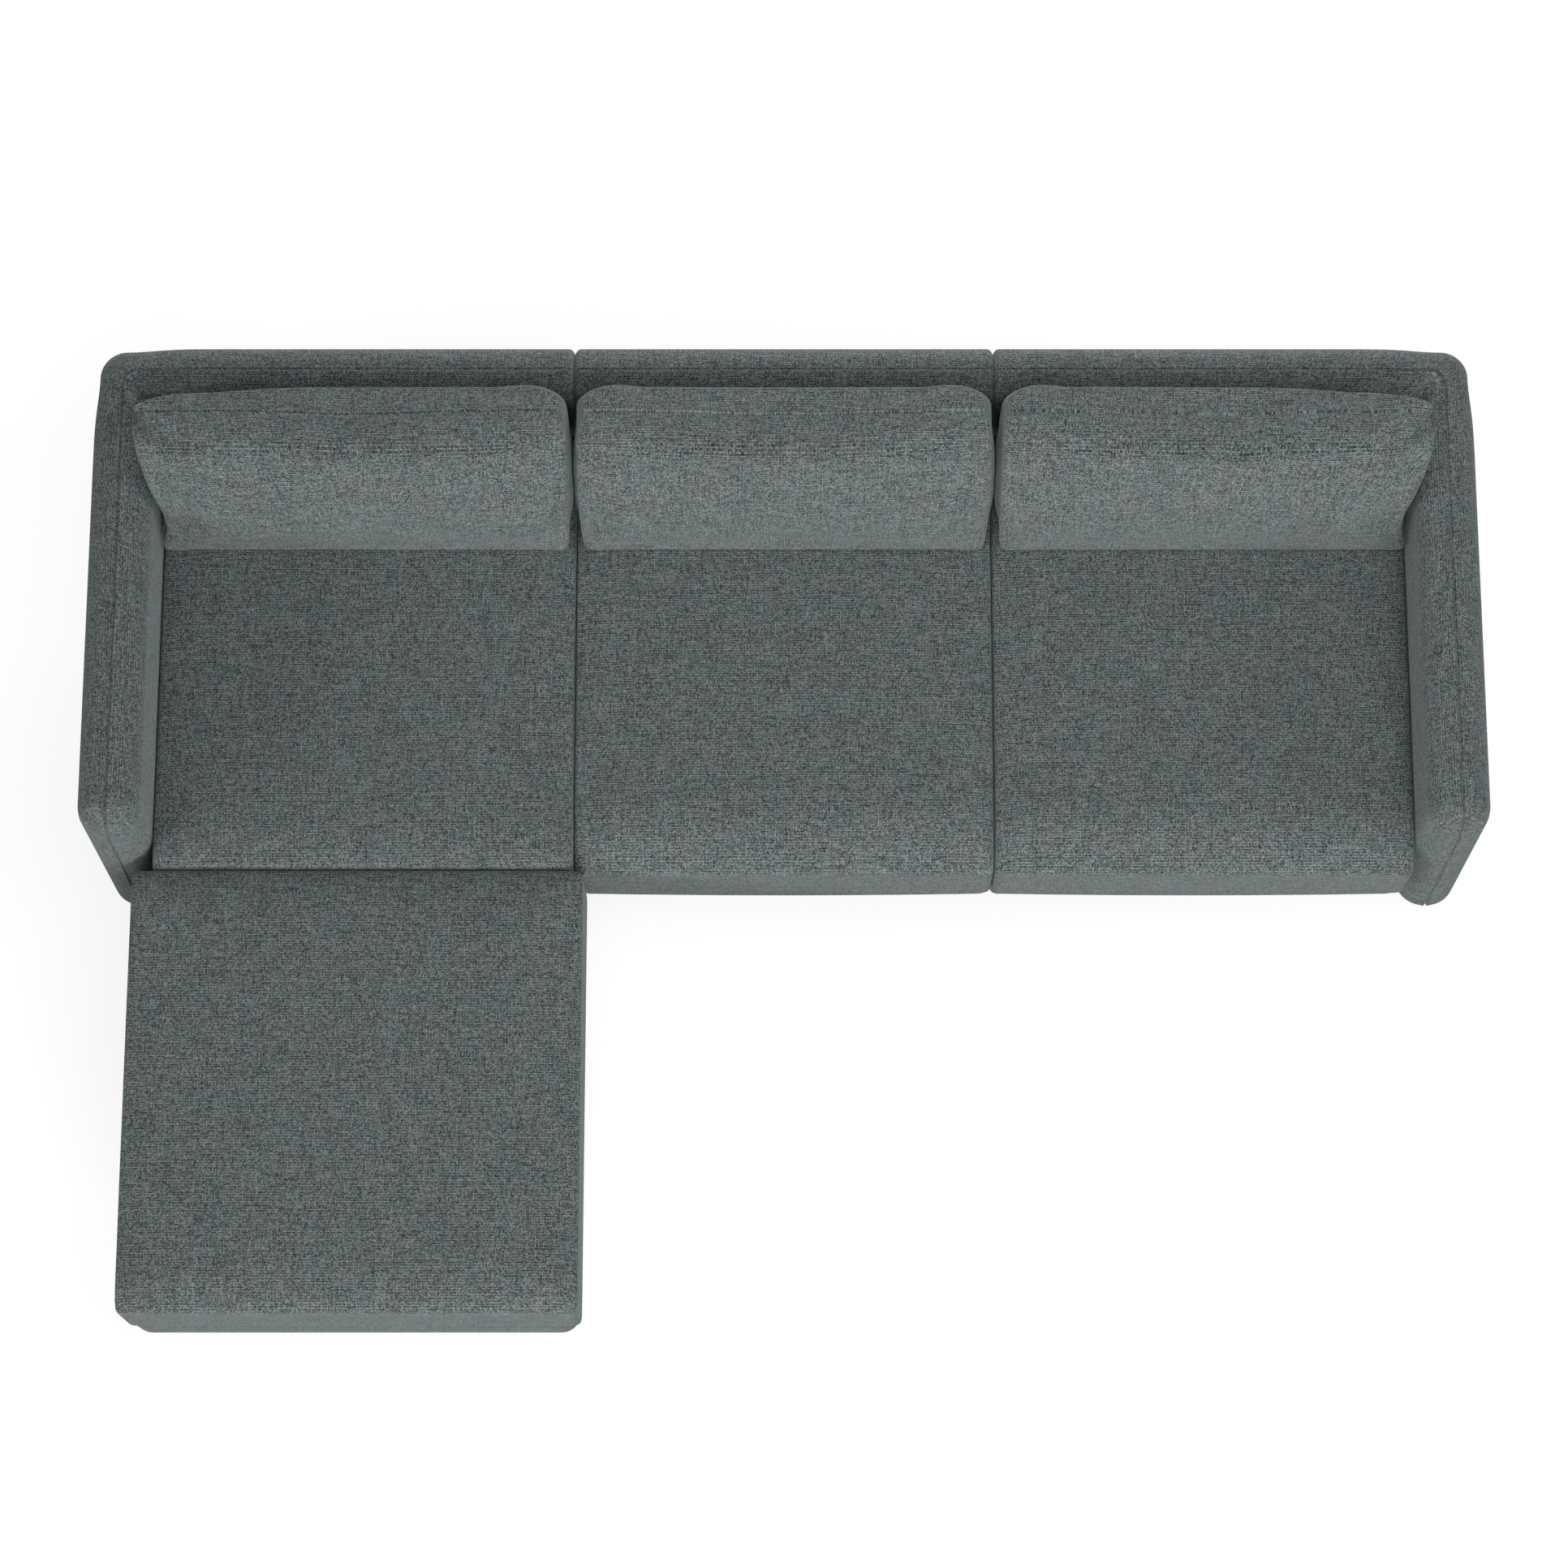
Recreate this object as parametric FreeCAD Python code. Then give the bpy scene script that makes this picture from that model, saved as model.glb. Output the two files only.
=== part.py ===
"""Modular three-seater sofa with a footstool, in millimetres.

Two end units, each with an arm and a back in one padded wall, stand either side of an armless
centre unit.  Loose seat and back cushions rest on the padded bases, and a free-standing
footstool is pushed against the left seat.  X runs along the sofa, Y to its rear and Z up; the
origin is on the floor under the middle of the whole group.
"""
import FreeCAD, Part
import math
import os

Vector = FreeCAD.Vector

# Overall sizes
SEAT_PITCH = 750.0            # one seat, from joint to joint
WALL_THICK = 110.0            # arms and backs are padded slabs of one thickness
SOFA_DEPTH = 925.0            # tip of an arm to the rear face
WALL_TOP = 620.0              # arms and backs are level
BASE_BOTTOM = 145.0           # underside of the bases, which is the height of the legs
BASE_HEIGHT = 110.0
SEAT_HEIGHT = 190.0           # thickness of a seat cushion at its crown
BACK_RISE = 275.0             # height of a back cushion
BACK_DEPTH = 226.0            # thickness of a back cushion where it meets the seat
STOOL_WIDTH = 800.0
STOOL_DEPTH = 785.0
STOOL_INSET = 71.0            # footstool's left side from the sofa's left side
STOOL_GAP = 3.0               # footstool to the tip of the arm

# Padded walls
ARM_RAKE = 24.0               # the arm's front leans out this far from its top to its foot
SEAT_SETBACK = 19.0           # base front behind the tip of the arm
SEAM_STRIP = 6.0              # flat strip that carries the seam along the top of a wall
FRONT_BEND = 10.0             # bend of that seam where it turns down the front of the arm
CORNER_BEND = 20.0            # bend of that seam where the arm turns into the back
INNER_CORNER = 3.0            # hollow corner between the arm and the back
END_CHAMFER = 6.0             # edges of a wall's end at a joint between units
WALL_PAD = 18.0               # padding on the sides of a wall's frame
WALL_TOP_PAD = 30.0           # padding over the frame
CORNER_PAD = 45.0             # padding behind the arm frame, in the rounded rear corner
UNIT_GAP = 2.0

# Timber
FRAME_RAIL = 60.0             # face width of the rails and posts of an arm or back frame
RAIL_THICK = 25.0
BLOCK_SIDE = 60.0             # corner block, square less a cut-off corner
BLOCK_CUT = 25.0

# Padded bases
BASE_WALL = 12.0
DECK_THICK = 8.0
CORNER_EASE = 11.0            # a base's corners clear the hollow corner of the wall
STOOL_CORNER = 32.0
DUST_THICK = 2.0
STRAP_THICK = 3.0
STRAP_WIDTH = 60.0
STRAPS = 5                    # straps each way
STRAP_MARGIN = 3.0            # strap ends stop short of the rail's outer face

# Legs and fasteners
LEG_TOP_SIDE = 46.0           # square legs that taper, their edges chamfered
LEG_FOOT_SIDE = 30.0
LEG_CHAMFER = 5.0
GLIDE_SIDE = 24.0
GLIDE_HEIGHT = 4.0
BOLT_RADIUS = 4.0
BOLT_FIT = 0.2                # radial room round a bolt or screw
STUD_IN_LEG = 40.0
STUD_IN_BLOCK = 45.0
BOLT_BITE = 45.0              # length of a frame bolt inside the frame
BOLT_HEAD_RADIUS = 9.0
BOLT_HEAD_HEIGHT = 5.0
PLATE_LENGTH = 96.0
PLATE_WIDTH = 40.0
PLATE_THICK = 3.0
SCREW_RADIUS = 2.5
SCREW_BITE = 30.0             # length of a screw inside the rail
SCREW_HEAD_RADIUS = 5.0
SCREW_HEAD_HEIGHT = 2.5

# Cushions
CUSHION_GAP = 3.0             # seat cushion to its neighbours
REST_GAP = 0.3                # cushion to what it rests on
LEAN_GAP = 3.0                # back cushion to the back that it leans on
SEAT_OVERHANG = 16.0          # a seat cushion's front swells out past the base
SEAM_TUCK = 8.0               # the seams draw a seat cushion's sides in
CUSHION_CORNER = 30.0
CROWN = 24.0                  # top of a seat cushion over its upper seam
CROWN_REACH = 130.0           # width of the rounding from that seam to the flat of the crown
FOAM_INSET = 20.0             # wadding and cover between the foam core and the outside
FOAM_TOP = 34.0               # the same over the core, under the crown
BELLY = 16.0                  # a back cushion's front swells out between its ends
BACK_CORNER = 10.0
BACK_TOP_LEAN = 16.0          # a back cushion's rear edge comes forward at its top
BACK_TOP_DEPTH = 42.0         # thickness left where the top rolls over
FILL_INSET = 24.0
FILL_SHARE = 0.7              # share of the rise that the fill takes up

# The end of a back cushion beside an arm, as (share of the rise, room to the arm's inner face):
# it stands clear of the arm, then swells out over the arm's rounded top.
ARM_END = ((0.0, 24.0), (0.3, 14.0), (0.5, 7.4), (0.75, -0.8), (0.92, -6.4), (1.0, 24.0))
# The end beside the next back cushion, as (share of the rise, room to the joint)
JOINT_END = ((0.0, 6.0), (0.3, 3.0), (0.5, 2.0), (0.75, 2.0), (0.92, 9.0), (1.0, 36.0))

# Places worked out from those sizes
X_LEFT = -1.5 * SEAT_PITCH - WALL_THICK
X_ARM = X_LEFT + WALL_THICK
X_JOINT = X_ARM + SEAT_PITCH
Y_REAR = (SOFA_DEPTH + STOOL_GAP + STOOL_DEPTH) / 2
Y_BACK = Y_REAR - WALL_THICK
Y_TIP = Y_REAR - SOFA_DEPTH
Y_SEAT = Y_TIP + SEAT_SETBACK
Y_STOOL = Y_TIP - STOOL_GAP
BASE_TOP = BASE_BOTTOM + BASE_HEIGHT
DECK_UNDERSIDE = BASE_TOP - DECK_THICK
RAIL_TOP = DECK_UNDERSIDE - 2 * STRAP_THICK
RAIL_BOTTOM = BASE_BOTTOM + DUST_THICK
RAIL_MIDDLE = (RAIL_BOTTOM + RAIL_TOP) / 2
SEAT_BOTTOM = BASE_TOP + REST_GAP
SEAT_TOP = SEAT_BOTTOM + SEAT_HEIGHT
BACK_BOTTOM = SEAT_TOP + REST_GAP
BULLNOSE = (WALL_THICK - SEAM_STRIP) / 2
BASE_CORNER = INNER_CORNER + CORNER_EASE

# Each seat's base, from side to side
UNIT_SPANS = {
    "left": (X_ARM, X_JOINT - UNIT_GAP / 2),
    "centre": (X_JOINT + UNIT_GAP / 2, -X_JOINT - UNIT_GAP / 2),
    "right": (-X_JOINT + UNIT_GAP / 2, -X_ARM),
}
STOOL_SPAN = (X_LEFT + STOOL_INSET, X_LEFT + STOOL_INSET + STOOL_WIDTH)


def block(x0, x1, y0, y1, z0, z1):
    """Box between two corners."""
    return Part.makeBox(x1 - x0, y1 - y0, z1 - z0, Vector(x0, y0, z0))


def prism(points, direction):
    """Flat polygon pushed out along a direction."""
    return Part.Face(Part.makePolygon(points + points[:1])).extrude(direction)


def mirrored(shape):
    """The same piece at the other end of the sofa."""
    return shape.mirror(Vector(0, 0, 0), Vector(1, 0, 0))


def rod(radius, start, direction, length):
    """Bolt, screw or the hole for one, drawn six-sided because there are so many."""
    across = Vector(1, 0, 0) if direction.z else Vector(0, 0, 1)
    other = direction.cross(across)
    turns = [math.radians(60 * i) for i in range(6)]
    corners = [start + across * (radius * math.cos(t)) + other * (radius * math.sin(t)) for t in turns]
    return prism(corners, direction * length)


def save(name, solids):
    """Write one sub-part; identical pieces share a file as separate solids."""
    shape = solids[0] if len(solids) == 1 else Part.makeCompound(solids)
    shape.exportStep(f"parts/{name}.step")


def cut_all(shape, tools):
    for tool in tools:
        shape = shape.cut(tool)
    return shape.Solids[0]


# Padded bases with their timber, webbing and legs

def leg_places(x0, x1, y0, y1):
    """Middle of each corner block, where a leg is bolted on."""
    inset = BASE_WALL + RAIL_THICK + BLOCK_SIDE / 2
    return [(x, y) for x in (x0 + inset, x1 - inset) for y in (y0 + inset, y1 - inset)]


def base_cover(x0, x1, y0, y1, corner):
    """Padded box with a closed deck, rounded corners and an open underside."""
    outer = block(x0, x1, y0, y1, BASE_BOTTOM, BASE_TOP)
    uprights = [e for e in outer.Edges if abs(e.tangentAt(e.FirstParameter).z) > 0.9]
    outer = outer.makeFillet(corner, uprights)
    inside = block(
        x0 + BASE_WALL, x1 - BASE_WALL, y0 + BASE_WALL, y1 - BASE_WALL, BASE_BOTTOM, DECK_UNDERSIDE
    )
    return outer.cut(inside).Solids[0]


def corner_blocks(x0, x1, y0, y1):
    """Glue block in each inner corner of the rails, its free corner cut off."""
    blocks = []
    for x, towards_x in ((x0, 1), (x1, -1)):
        for y, towards_y in ((y0, 1), (y1, -1)):
            far_x = x + towards_x * BLOCK_SIDE
            far_y = y + towards_y * BLOCK_SIDE
            outline = [
                Vector(x, y, RAIL_BOTTOM),
                Vector(far_x, y, RAIL_BOTTOM),
                Vector(far_x, far_y - towards_y * BLOCK_CUT, RAIL_BOTTOM),
                Vector(far_x - towards_x * BLOCK_CUT, far_y, RAIL_BOTTOM),
                Vector(x, far_y, RAIL_BOTTOM),
            ]
            blocks.append(prism(outline, Vector(0, 0, RAIL_TOP - RAIL_BOTTOM)))
    return blocks


def webbing(x0, x1, y0, y1):
    """Straps from front rail to rear rail, and a second layer across them on the side rails."""
    straps = []
    step_x = (x1 - x0 - 2 * RAIL_THICK) / STRAPS
    step_y = (y1 - y0 - 2 * RAIL_THICK) / STRAPS
    middle = RAIL_TOP + STRAP_THICK
    for i in range(STRAPS):
        x = x0 + RAIL_THICK + (i + 0.5) * step_x
        y = y0 + RAIL_THICK + (i + 0.5) * step_y
        half = STRAP_WIDTH / 2
        straps.append(block(x - half, x + half, y0 + STRAP_MARGIN, y1 - STRAP_MARGIN, RAIL_TOP, middle))
        straps.append(
            block(x0 + STRAP_MARGIN, x1 - STRAP_MARGIN, y - half, y + half, middle, DECK_UNDERSIDE)
        )
    return straps


def leg(x, y):
    """Square leg with chamfered edges that tapers from the base down to its glide."""
    rings = []
    for z, size in ((GLIDE_HEIGHT, LEG_FOOT_SIDE), (BASE_BOTTOM, LEG_TOP_SIDE)):
        half = size / 2
        flat = half - LEG_CHAMFER
        ring = [(half, flat), (flat, half), (-flat, half), (-half, flat)]
        ring += [(-half, -flat), (-flat, -half), (flat, -half), (half, -flat)]
        rings.append([Vector(x + dx, y + dy, z) for dx, dy in ring])
    foot, top = rings
    outlines = [foot, top]
    outlines += [[foot[i - 1], foot[i], top[i], top[i - 1]] for i in range(len(foot))]
    faces = [Part.Face(Part.makePolygon(points + points[:1])) for points in outlines]
    return Part.Solid(Part.Shell(faces))


def glide(x, y):
    half = GLIDE_SIDE / 2
    return block(x - half, x + half, y - half, y + half, 0, GLIDE_HEIGHT)


def base_pieces(x0, x1, y0, y1, corner):
    """All the pieces of one padded base, as lists of solids by name."""
    inner = (x0 + BASE_WALL, x1 - BASE_WALL, y0 + BASE_WALL, y1 - BASE_WALL)
    ix0, ix1, iy0, iy1 = inner
    side_y0 = iy0 + RAIL_THICK
    side_y1 = iy1 - RAIL_THICK
    side_top = RAIL_TOP + STRAP_THICK
    places = leg_places(x0, x1, y0, y1)
    up = Vector(0, 0, 1)
    stud_low = BASE_BOTTOM - STUD_IN_LEG
    stud_length = STUD_IN_LEG + STUD_IN_BLOCK
    stud_holes = [rod(BOLT_RADIUS + BOLT_FIT, Vector(x, y, stud_low), up, stud_length) for x, y in places]
    blocks = corner_blocks(ix0 + RAIL_THICK, ix1 - RAIL_THICK, side_y0, side_y1)
    return {
        "base_cover": [base_cover(x0, x1, y0, y1, corner)],
        "front_rail": [block(ix0, ix1, iy0, side_y0, RAIL_BOTTOM, RAIL_TOP)],
        "rear_rail": [block(ix0, ix1, side_y1, iy1, RAIL_BOTTOM, RAIL_TOP)],
        "side_rails": [
            block(ix0, ix0 + RAIL_THICK, side_y0, side_y1, RAIL_BOTTOM, side_top),
            block(ix1 - RAIL_THICK, ix1, side_y0, side_y1, RAIL_BOTTOM, side_top),
        ],
        "corner_blocks": [cut_all(b, [h]) for b, h in zip(blocks, stud_holes)],
        "webbing": webbing(*inner),
        "dust_cover": [cut_all(block(*inner, BASE_BOTTOM, RAIL_BOTTOM), stud_holes)],
        "legs": [cut_all(leg(x, y), [hole]) for (x, y), hole in zip(places, stud_holes)],
        "glides": [glide(x, y) for x, y in places],
        "leg_bolts": [rod(BOLT_RADIUS, Vector(x, y, stud_low), up, stud_length) for x, y in places],
    }


# Padded walls: an arm and a back in one cover, or a back alone

def arm_profile(inset, top):
    """Side view of the arm: raked front, then a level top that ends past the rear."""
    lean = ARM_RAKE / (WALL_TOP - BASE_BOTTOM) * (top - BASE_BOTTOM)
    return [
        Vector(0, Y_TIP + inset, BASE_BOTTOM),
        Vector(0, Y_TIP + inset + lean, top),
        Vector(0, Y_REAR, top),
        Vector(0, Y_REAR, BASE_BOTTOM),
    ]


def on_rim(edge, x_end):
    """True for an edge that gets the full-round nose: the top edges and the arm's front edges."""
    middle = edge.valueAt((edge.FirstParameter + edge.LastParameter) / 2)
    across_arm = X_LEFT + 1 < middle.x < X_ARM - 1 and middle.y < Y_BACK
    at_joint = abs(middle.x - x_end) < 1
    at_foot = middle.z < BASE_BOTTOM + 1
    is_upright = middle.z < WALL_TOP - 1 and middle.y > Y_TIP + ARM_RAKE + WALL_THICK
    return not (across_arm or at_joint or at_foot or is_upright)


def end_unit_wall():
    """Left arm and back as one slab round the corner, its top and front edges full round."""
    x_end = X_JOINT - UNIT_GAP / 2
    height = Vector(0, 0, WALL_TOP - BASE_BOTTOM)
    outline = [
        Vector(X_LEFT, Y_TIP, BASE_BOTTOM),
        Vector(X_ARM, Y_TIP, BASE_BOTTOM),
        Vector(X_ARM, Y_BACK, BASE_BOTTOM),
        Vector(x_end, Y_BACK, BASE_BOTTOM),
        Vector(x_end, Y_REAR, BASE_BOTTOM),
        Vector(X_LEFT, Y_REAR, BASE_BOTTOM),
    ]
    wall = prism(outline, height)
    wall = wall.common(prism(arm_profile(0, WALL_TOP), Vector(X_LEFT, 0, 0)))

    def upright_at(x, y):
        return [e for e in wall.Edges if all(abs(v.X - x) < 1 and abs(v.Y - y) < 1 for v in e.Vertexes)]

    wall = wall.makeFillet(WALL_THICK / 2 + CORNER_BEND, upright_at(X_LEFT, Y_REAR))
    wall = wall.makeFillet(INNER_CORNER, upright_at(X_ARM, Y_BACK))
    brow = [e for e in wall.Edges if all(abs(v.Y - Y_TIP - ARM_RAKE) < 1 for v in e.Vertexes)]
    wall = wall.makeFillet(WALL_THICK / 2 + FRONT_BEND, [e for e in brow if e.BoundBox.ZMin > WALL_TOP - 1])
    wall = wall.makeFillet(BULLNOSE, [e for e in wall.Edges if on_rim(e, x_end)])
    return eased_ends(wall, [x_end])


def centre_wall():
    """Straight back of the armless unit, full round along its top."""
    x0, x1 = UNIT_SPANS["centre"]
    wall = block(x0, x1, Y_BACK, Y_REAR, BASE_BOTTOM, WALL_TOP)
    top = [e for e in wall.Edges if e.BoundBox.ZMin > WALL_TOP - 1 and e.BoundBox.XLength > WALL_THICK]
    return eased_ends(wall.makeFillet(BULLNOSE, top), [x0, x1])


def eased_ends(wall, ends):
    """Small chamfer where the cover turns onto the end of a wall at a joint."""
    edges = [
        e
        for e in wall.Edges
        if any(abs(e.BoundBox.XMin - x) + abs(e.BoundBox.XMax - x) < 0.1 for x in ends)
        and e.BoundBox.ZMax > BASE_BOTTOM + 1
    ]
    return wall.makeChamfer(END_CHAMFER, edges).Solids[0]


def windowed(frame, x0, x1, y0, y1, top, across):
    """Ladder frame: two windows, with a rail or post left all round and between them."""
    low, high = BASE_BOTTOM + FRAME_RAIL + RAIL_THICK, top - FRAME_RAIL
    if across:
        middle = (y0 + y1) / 2
        spans = ((y0 + FRAME_RAIL, middle - FRAME_RAIL / 2), (middle + FRAME_RAIL / 2, y1 - FRAME_RAIL))
        return cut_all(frame, [block(x0, x1, a, b, low, high) for a, b in spans])
    middle = (x0 + x1) / 2
    spans = ((x0 + FRAME_RAIL, middle - FRAME_RAIL / 2), (middle + FRAME_RAIL / 2, x1 - FRAME_RAIL))
    return cut_all(frame, [block(a, b, y0, y1, low, high) for a, b in spans])


def arm_space():
    """Room inside the left arm's padding, which its frame fills."""
    top = WALL_TOP - WALL_TOP_PAD
    room = prism(arm_profile(WALL_PAD, top), Vector(WALL_THICK - 2 * WALL_PAD, 0, 0))
    room.translate(Vector(X_LEFT + WALL_PAD, 0, 0))
    return room.cut(block(X_LEFT, X_ARM, Y_REAR - CORNER_PAD, Y_REAR, BASE_BOTTOM, WALL_TOP)).Solids[0]


def arm_frame():
    front = Y_TIP + WALL_PAD + ARM_RAKE
    return windowed(
        arm_space(), X_LEFT, X_ARM, front, Y_REAR - CORNER_PAD, WALL_TOP - WALL_TOP_PAD, across=True
    )


def back_span(unit):
    """Frame ends inside a back: against the arm frame, or padded at a joint."""
    x0, x1 = UNIT_SPANS[unit]
    return (
        X_ARM - WALL_PAD if unit == "left" else x0 + WALL_PAD,
        -X_ARM + WALL_PAD if unit == "right" else x1 - WALL_PAD,
    )


def back_space(unit):
    """Room inside a back's padding, which its frame fills."""
    x0, x1 = back_span(unit)
    return block(x0, x1, Y_BACK + WALL_PAD, Y_REAR - WALL_PAD, BASE_BOTTOM, WALL_TOP - WALL_TOP_PAD)


def back_frame(unit):
    x0, x1 = back_span(unit)
    return windowed(
        back_space(unit), x0, x1, Y_BACK, Y_REAR, WALL_TOP - WALL_TOP_PAD, across=False
    )


# Fasteners

def quarter_points(a, b):
    return (a + (b - a) / 4, a + 3 * (b - a) / 4)


def frame_bolt(start, direction, room):
    """Bolt from the inside of a base rail, through both paddings, into an arm or back frame."""
    length = RAIL_THICK + BASE_WALL + WALL_PAD + BOLT_BITE
    shank = rod(BOLT_RADIUS + room, start, direction, length)
    if room:
        return shank
    head = rod(BOLT_HEAD_RADIUS, start, direction * -1, BOLT_HEAD_HEIGHT)
    return shank.fuse(head).removeSplitter().Solids[0]


def frame_bolts(room=0.0):
    """Two bolts through each arm's side rail and two through each rear rail."""
    inset = BASE_WALL + RAIL_THICK
    bolts = []
    for y in quarter_points(Y_SEAT, Y_BACK):
        bolts.append(frame_bolt(Vector(X_ARM + inset, y, RAIL_MIDDLE), Vector(-1, 0, 0), room))
        bolts.append(frame_bolt(Vector(-X_ARM - inset, y, RAIL_MIDDLE), Vector(1, 0, 0), room))
    for x0, x1 in UNIT_SPANS.values():
        for x in quarter_points(x0, x1):
            bolts.append(frame_bolt(Vector(x, Y_BACK - inset, RAIL_MIDDLE), Vector(0, 1, 0), room))
    return bolts


def plate_places():
    return [(x, y) for x in (X_JOINT, -X_JOINT) for y in quarter_points(Y_SEAT, Y_BACK)]


def screw_places():
    """Under the middle of the side rails on both sides of each joint."""
    offset = UNIT_GAP / 2 + BASE_WALL + RAIL_THICK / 2
    return [(x + side * offset, y) for x, y in plate_places() for side in (-1, 1)]


def plate_screws(room=0.0):
    low = BASE_BOTTOM - PLATE_THICK
    up = Vector(0, 0, 1)
    length = PLATE_THICK + DUST_THICK + SCREW_BITE
    shanks = [rod(SCREW_RADIUS + room, Vector(x, y, low), up, length) for x, y in screw_places()]
    if room:
        return shanks
    down = Vector(0, 0, -1)
    heads = [rod(SCREW_HEAD_RADIUS, Vector(x, y, low), down, SCREW_HEAD_HEIGHT) for x, y in screw_places()]
    return [shank.fuse(head).removeSplitter().Solids[0] for shank, head in zip(shanks, heads)]


def joining_plates(holes):
    half_x = PLATE_LENGTH / 2
    half_y = PLATE_WIDTH / 2
    plates = [
        block(x - half_x, x + half_x, y - half_y, y + half_y, BASE_BOTTOM - PLATE_THICK, BASE_BOTTOM)
        for x, y in plate_places()
    ]
    return [cut_all(plate, holes) for plate in plates]


# Cushions

def cushion_section(x0, x1, y0, y1, z, corner, belly):
    """Level outline of a cushion: its sides, front first, joined by four corner arcs.

    The front bows out by the belly, and the other sides are straight.
    """
    y0 += belly
    diagonal = corner * math.sqrt(0.5)
    centres = [
        (x1 - corner, y0 + corner, 1, -1),
        (x1 - corner, y1 - corner, 1, 1),
        (x0 + corner, y1 - corner, -1, 1),
        (x0 + corner, y0 + corner, -1, -1),
    ]
    arcs = []
    for i, (x, y, sx, sy) in enumerate(centres):
        ends = [Vector(x + sx * corner, y, z), Vector(x, y + sy * corner, z)]
        if i % 2 == 0:
            ends.reverse()
        arcs.append((ends[0], Vector(x + sx * diagonal, y + sy * diagonal, z), ends[1]))
    edges = []
    for i, arc in enumerate(arcs):
        start, end = arcs[i - 1][2], arc[0]
        if i == 0 and belly:
            middle = (start + end) / 2 - Vector(0, belly, 0)
            edges.append(Part.Arc(start, middle, end).toShape())
        else:
            edges.append(Part.LineSegment(start, end).toShape())
        edges.append(Part.Arc(*arc).toShape())
    return Part.Wire(edges)


def seat_cushion(x0, x1, y0, y1):
    """Boxed cushion: seams draw its sides in below and above, and its top swells to a crown."""
    seam = SEAT_TOP - CROWN
    levels = []
    for share in (0.0, 0.5, 1.0):
        levels.append((SEAT_BOTTOM + share * (seam - SEAT_BOTTOM), SEAM_TUCK * (2 * share - 1) ** 2))
    for angle in (math.radians(25), math.radians(50), math.radians(75), math.radians(90)):
        levels.append((seam + CROWN * math.sin(angle), SEAM_TUCK + CROWN_REACH * (1 - math.cos(angle))))
    sections = [
        cushion_section(x0 + tuck, x1 - tuck, y0 + tuck, y1 - tuck, z, CUSHION_CORNER, 0)
        for z, tuck in levels
    ]
    return Part.makeLoft(sections, True, True).Solids[0]


def seat_foam(x0, x1, y0, y1):
    return block(
        x0 + FOAM_INSET, x1 - FOAM_INSET, y0 + FOAM_INSET, y1 - FOAM_INSET,
        SEAT_BOTTOM + FOAM_INSET, SEAT_TOP - FOAM_TOP,
    )


def back_depth(share):
    """Thickness of a back cushion at a share of its rise: steep below, rolling over at the top."""
    return BACK_TOP_DEPTH + (BACK_DEPTH - BACK_TOP_DEPTH) * (1 - share ** 2) ** (2 / 3)


def back_cushion(x0, x1, left_end, right_end):
    """Plump wedge that leans on the back, thick at the seat and rolled over at the top."""
    rear = Y_BACK - LEAN_GAP
    sections = []
    for (share, left_room), (_, right_room) in zip(left_end, right_end):
        back = rear - BACK_TOP_LEAN * share ** 6
        front = rear - back_depth(share)
        z = BACK_BOTTOM + share * BACK_RISE
        belly = BELLY * (back - front) / BACK_DEPTH
        sections.append(
            cushion_section(x0 + left_room, x1 - right_room, front, back, z, BACK_CORNER, belly)
        )
    return Part.makeLoft(sections, True, True).Solids[0]


def back_fill(x0, x1):
    """Wedge of fill inside a back cushion's cover."""
    rear = Y_BACK - LEAN_GAP
    low = BACK_BOTTOM + FILL_INSET
    high = BACK_BOTTOM + FILL_SHARE * BACK_RISE
    outline = [
        Vector(0, rear - BACK_DEPTH + FILL_INSET + BELLY, low),
        Vector(0, rear - FILL_INSET, low),
        Vector(0, rear - FILL_INSET, high),
        Vector(0, rear - back_depth(FILL_SHARE) + FILL_INSET + BELLY, high),
    ]
    wedge = prism(outline, Vector(x1 - x0 - 2 * FILL_INSET, 0, 0))
    wedge.translate(Vector(x0 + FILL_INSET, 0, 0))
    return wedge


def save_cushion(name, outer, core, core_name):
    save(f"{name}_cover", [outer.cut(core).Solids[0]])
    save(f"{name}_{core_name}", [core])


# Write the sub-parts

os.makedirs("parts", exist_ok=True)

bolt_holes = frame_bolts(room=BOLT_FIT)
screw_holes = plate_screws(room=BOLT_FIT)
sofa_glides = []
sofa_leg_bolts = []
for unit, (x0, x1) in UNIT_SPANS.items():
    pieces = base_pieces(x0, x1, Y_SEAT, Y_BACK, BASE_CORNER)
    sofa_glides += pieces.pop("glides")
    sofa_leg_bolts += pieces.pop("leg_bolts")
    for piece in ("base_cover", "rear_rail", "side_rails"):
        pieces[piece] = [cut_all(solid, bolt_holes) for solid in pieces[piece]]
    for piece in ("side_rails", "dust_cover"):
        pieces[piece] = [cut_all(solid, screw_holes) for solid in pieces[piece]]
    for piece, solids in pieces.items():
        save(f"{unit}_{piece}", solids)
    save(f"{unit}_back_frame", [cut_all(back_frame(unit), bolt_holes)])

    seat = (x0 + CUSHION_GAP, x1 - CUSHION_GAP, Y_SEAT - SEAT_OVERHANG, Y_BACK - CUSHION_GAP)
    save_cushion(f"{unit}_seat_cushion", seat_cushion(*seat), seat_foam(*seat), "foam")
    left_end = ARM_END if unit == "left" else JOINT_END
    right_end = ARM_END if unit == "right" else JOINT_END
    back = back_cushion(x0, x1, left_end, right_end)
    save_cushion(f"{unit}_back_cushion", back, back_fill(x0, x1), "fill")

save("sofa_glides", sofa_glides)
save("sofa_leg_bolts", sofa_leg_bolts)
save("frame_bolts", frame_bolts())
save("joining_plates", joining_plates(screw_holes))
save("plate_screws", plate_screws())

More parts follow.
